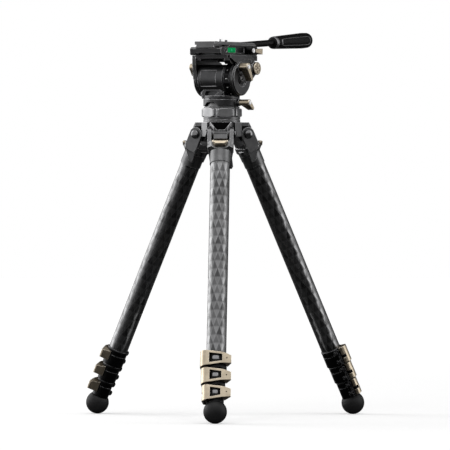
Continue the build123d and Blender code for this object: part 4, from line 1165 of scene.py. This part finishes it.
# %% Lamps
def turn_towards(aim):
    """Turn that points an object's -Z along aim, with its Y up."""
    return Vector(aim).to_track_quat("-Z", "Y").to_euler()


def soft_lamp(name, place, size, watts, target=(0, 0, 0.35)):
    """Rectangular soft lamp at a place, turned towards the tripod."""
    light = bpy.data.lights.new(name, "AREA")
    light.shape, light.size, light.size_y, light.energy = "RECTANGLE", size[0], size[1], watts
    lamp = in_scene(name, light)
    lamp.location = place
    lamp.rotation_euler = turn_towards(np.array(target) - np.array(place))
    print(f"{name}: {watts} W")


def around(degrees, distance, height):
    """Places round the tripod, by degrees to the right of the camera: d (sin a R + cos a B)
    + z up, where R points to the camera's right and B towards the camera."""
    a = np.radians(degrees)[..., None]
    return distance * (np.sin(a) * RIGHT + np.cos(a) * BACK) + height * UP


soft_lamp("left lamp", around(-112, 2.0, 1.0), (1.7, 2.0), 26)
soft_lamp("right lamp", around(84, 2.1, 1.0), (1.0, 2.0), 10)
soft_lamp("top lamp", around(0, 0.9, 2.4), (1.6, 1.2), 12)


# %% [markdown]
# Dark satin metal shows mostly what stands around it. With white all round it turns flat and
# grey, so studios put up black flags round the object, out of view. Here a flag is a strip of
# cylinder wall, or a disc on the floor, that only reflections can see.


# %% Flags
def show_flag(name, grid, quads, grey):
    """A grey stage piece that only glossy rays see."""
    material, _, _ = new_material(name, Base_Color=(grey,) * 3 + (1,), Roughness=1.0)
    piece = in_scene(name, new_mesh(name, grid, quads), material)
    piece.visible_camera = piece.visible_diffuse = piece.visible_shadow = False
    piece.visible_transmission = False
    print(f"{name}: grey {grey}")


def wall(name, first, last, low, high, grey, distance=2.4, columns=24):
    """Wall on an arc from first to last degree. Its last column doesn't meet its first."""
    angles = np.linspace(first, last, columns)
    grid = np.stack([around(angles, distance, z) for z in (low, high)])
    show_flag(name, grid, grid_quads(2, columns, ring=False)[:-1], grey)


wall("flag behind", 134, 198, -0.1, 5.0, 0.01)
wall("grey card", 110, 134, -0.1, 5.0, 0.60)
wall("flag in front", -25, 66, -0.1, 0.95, 0.10)
table = turned([(0.05, 0.0005), (4.0, 0.0005)], 48)
show_flag("flag below", table, grid_quads(2, 48, ring=False), 0.045)


# %% Camera
def catalogue_camera():
    """A long lens nine metres away, aimed a third of a metre up at the tripod's middle."""
    distance, height, aim_height, aside = 8.971, 0.397, 0.315, 0.0052
    camera = bpy.data.cameras.new("camera")
    camera.lens, camera.sensor_width, camera.clip_end = 437.6, 36.0, 100.0
    eye = in_scene("camera", camera)
    target = aim_height * UP + aside * RIGHT
    eye.location = BACK * distance + height * UP
    eye.rotation_euler = turn_towards(target - np.array(eye.location))
    bpy.context.scene.camera = eye
    print(f"camera {distance} m away, lens {camera.lens} mm")


catalogue_camera()
bpy.context.scene.view_settings.view_transform = "Standard"
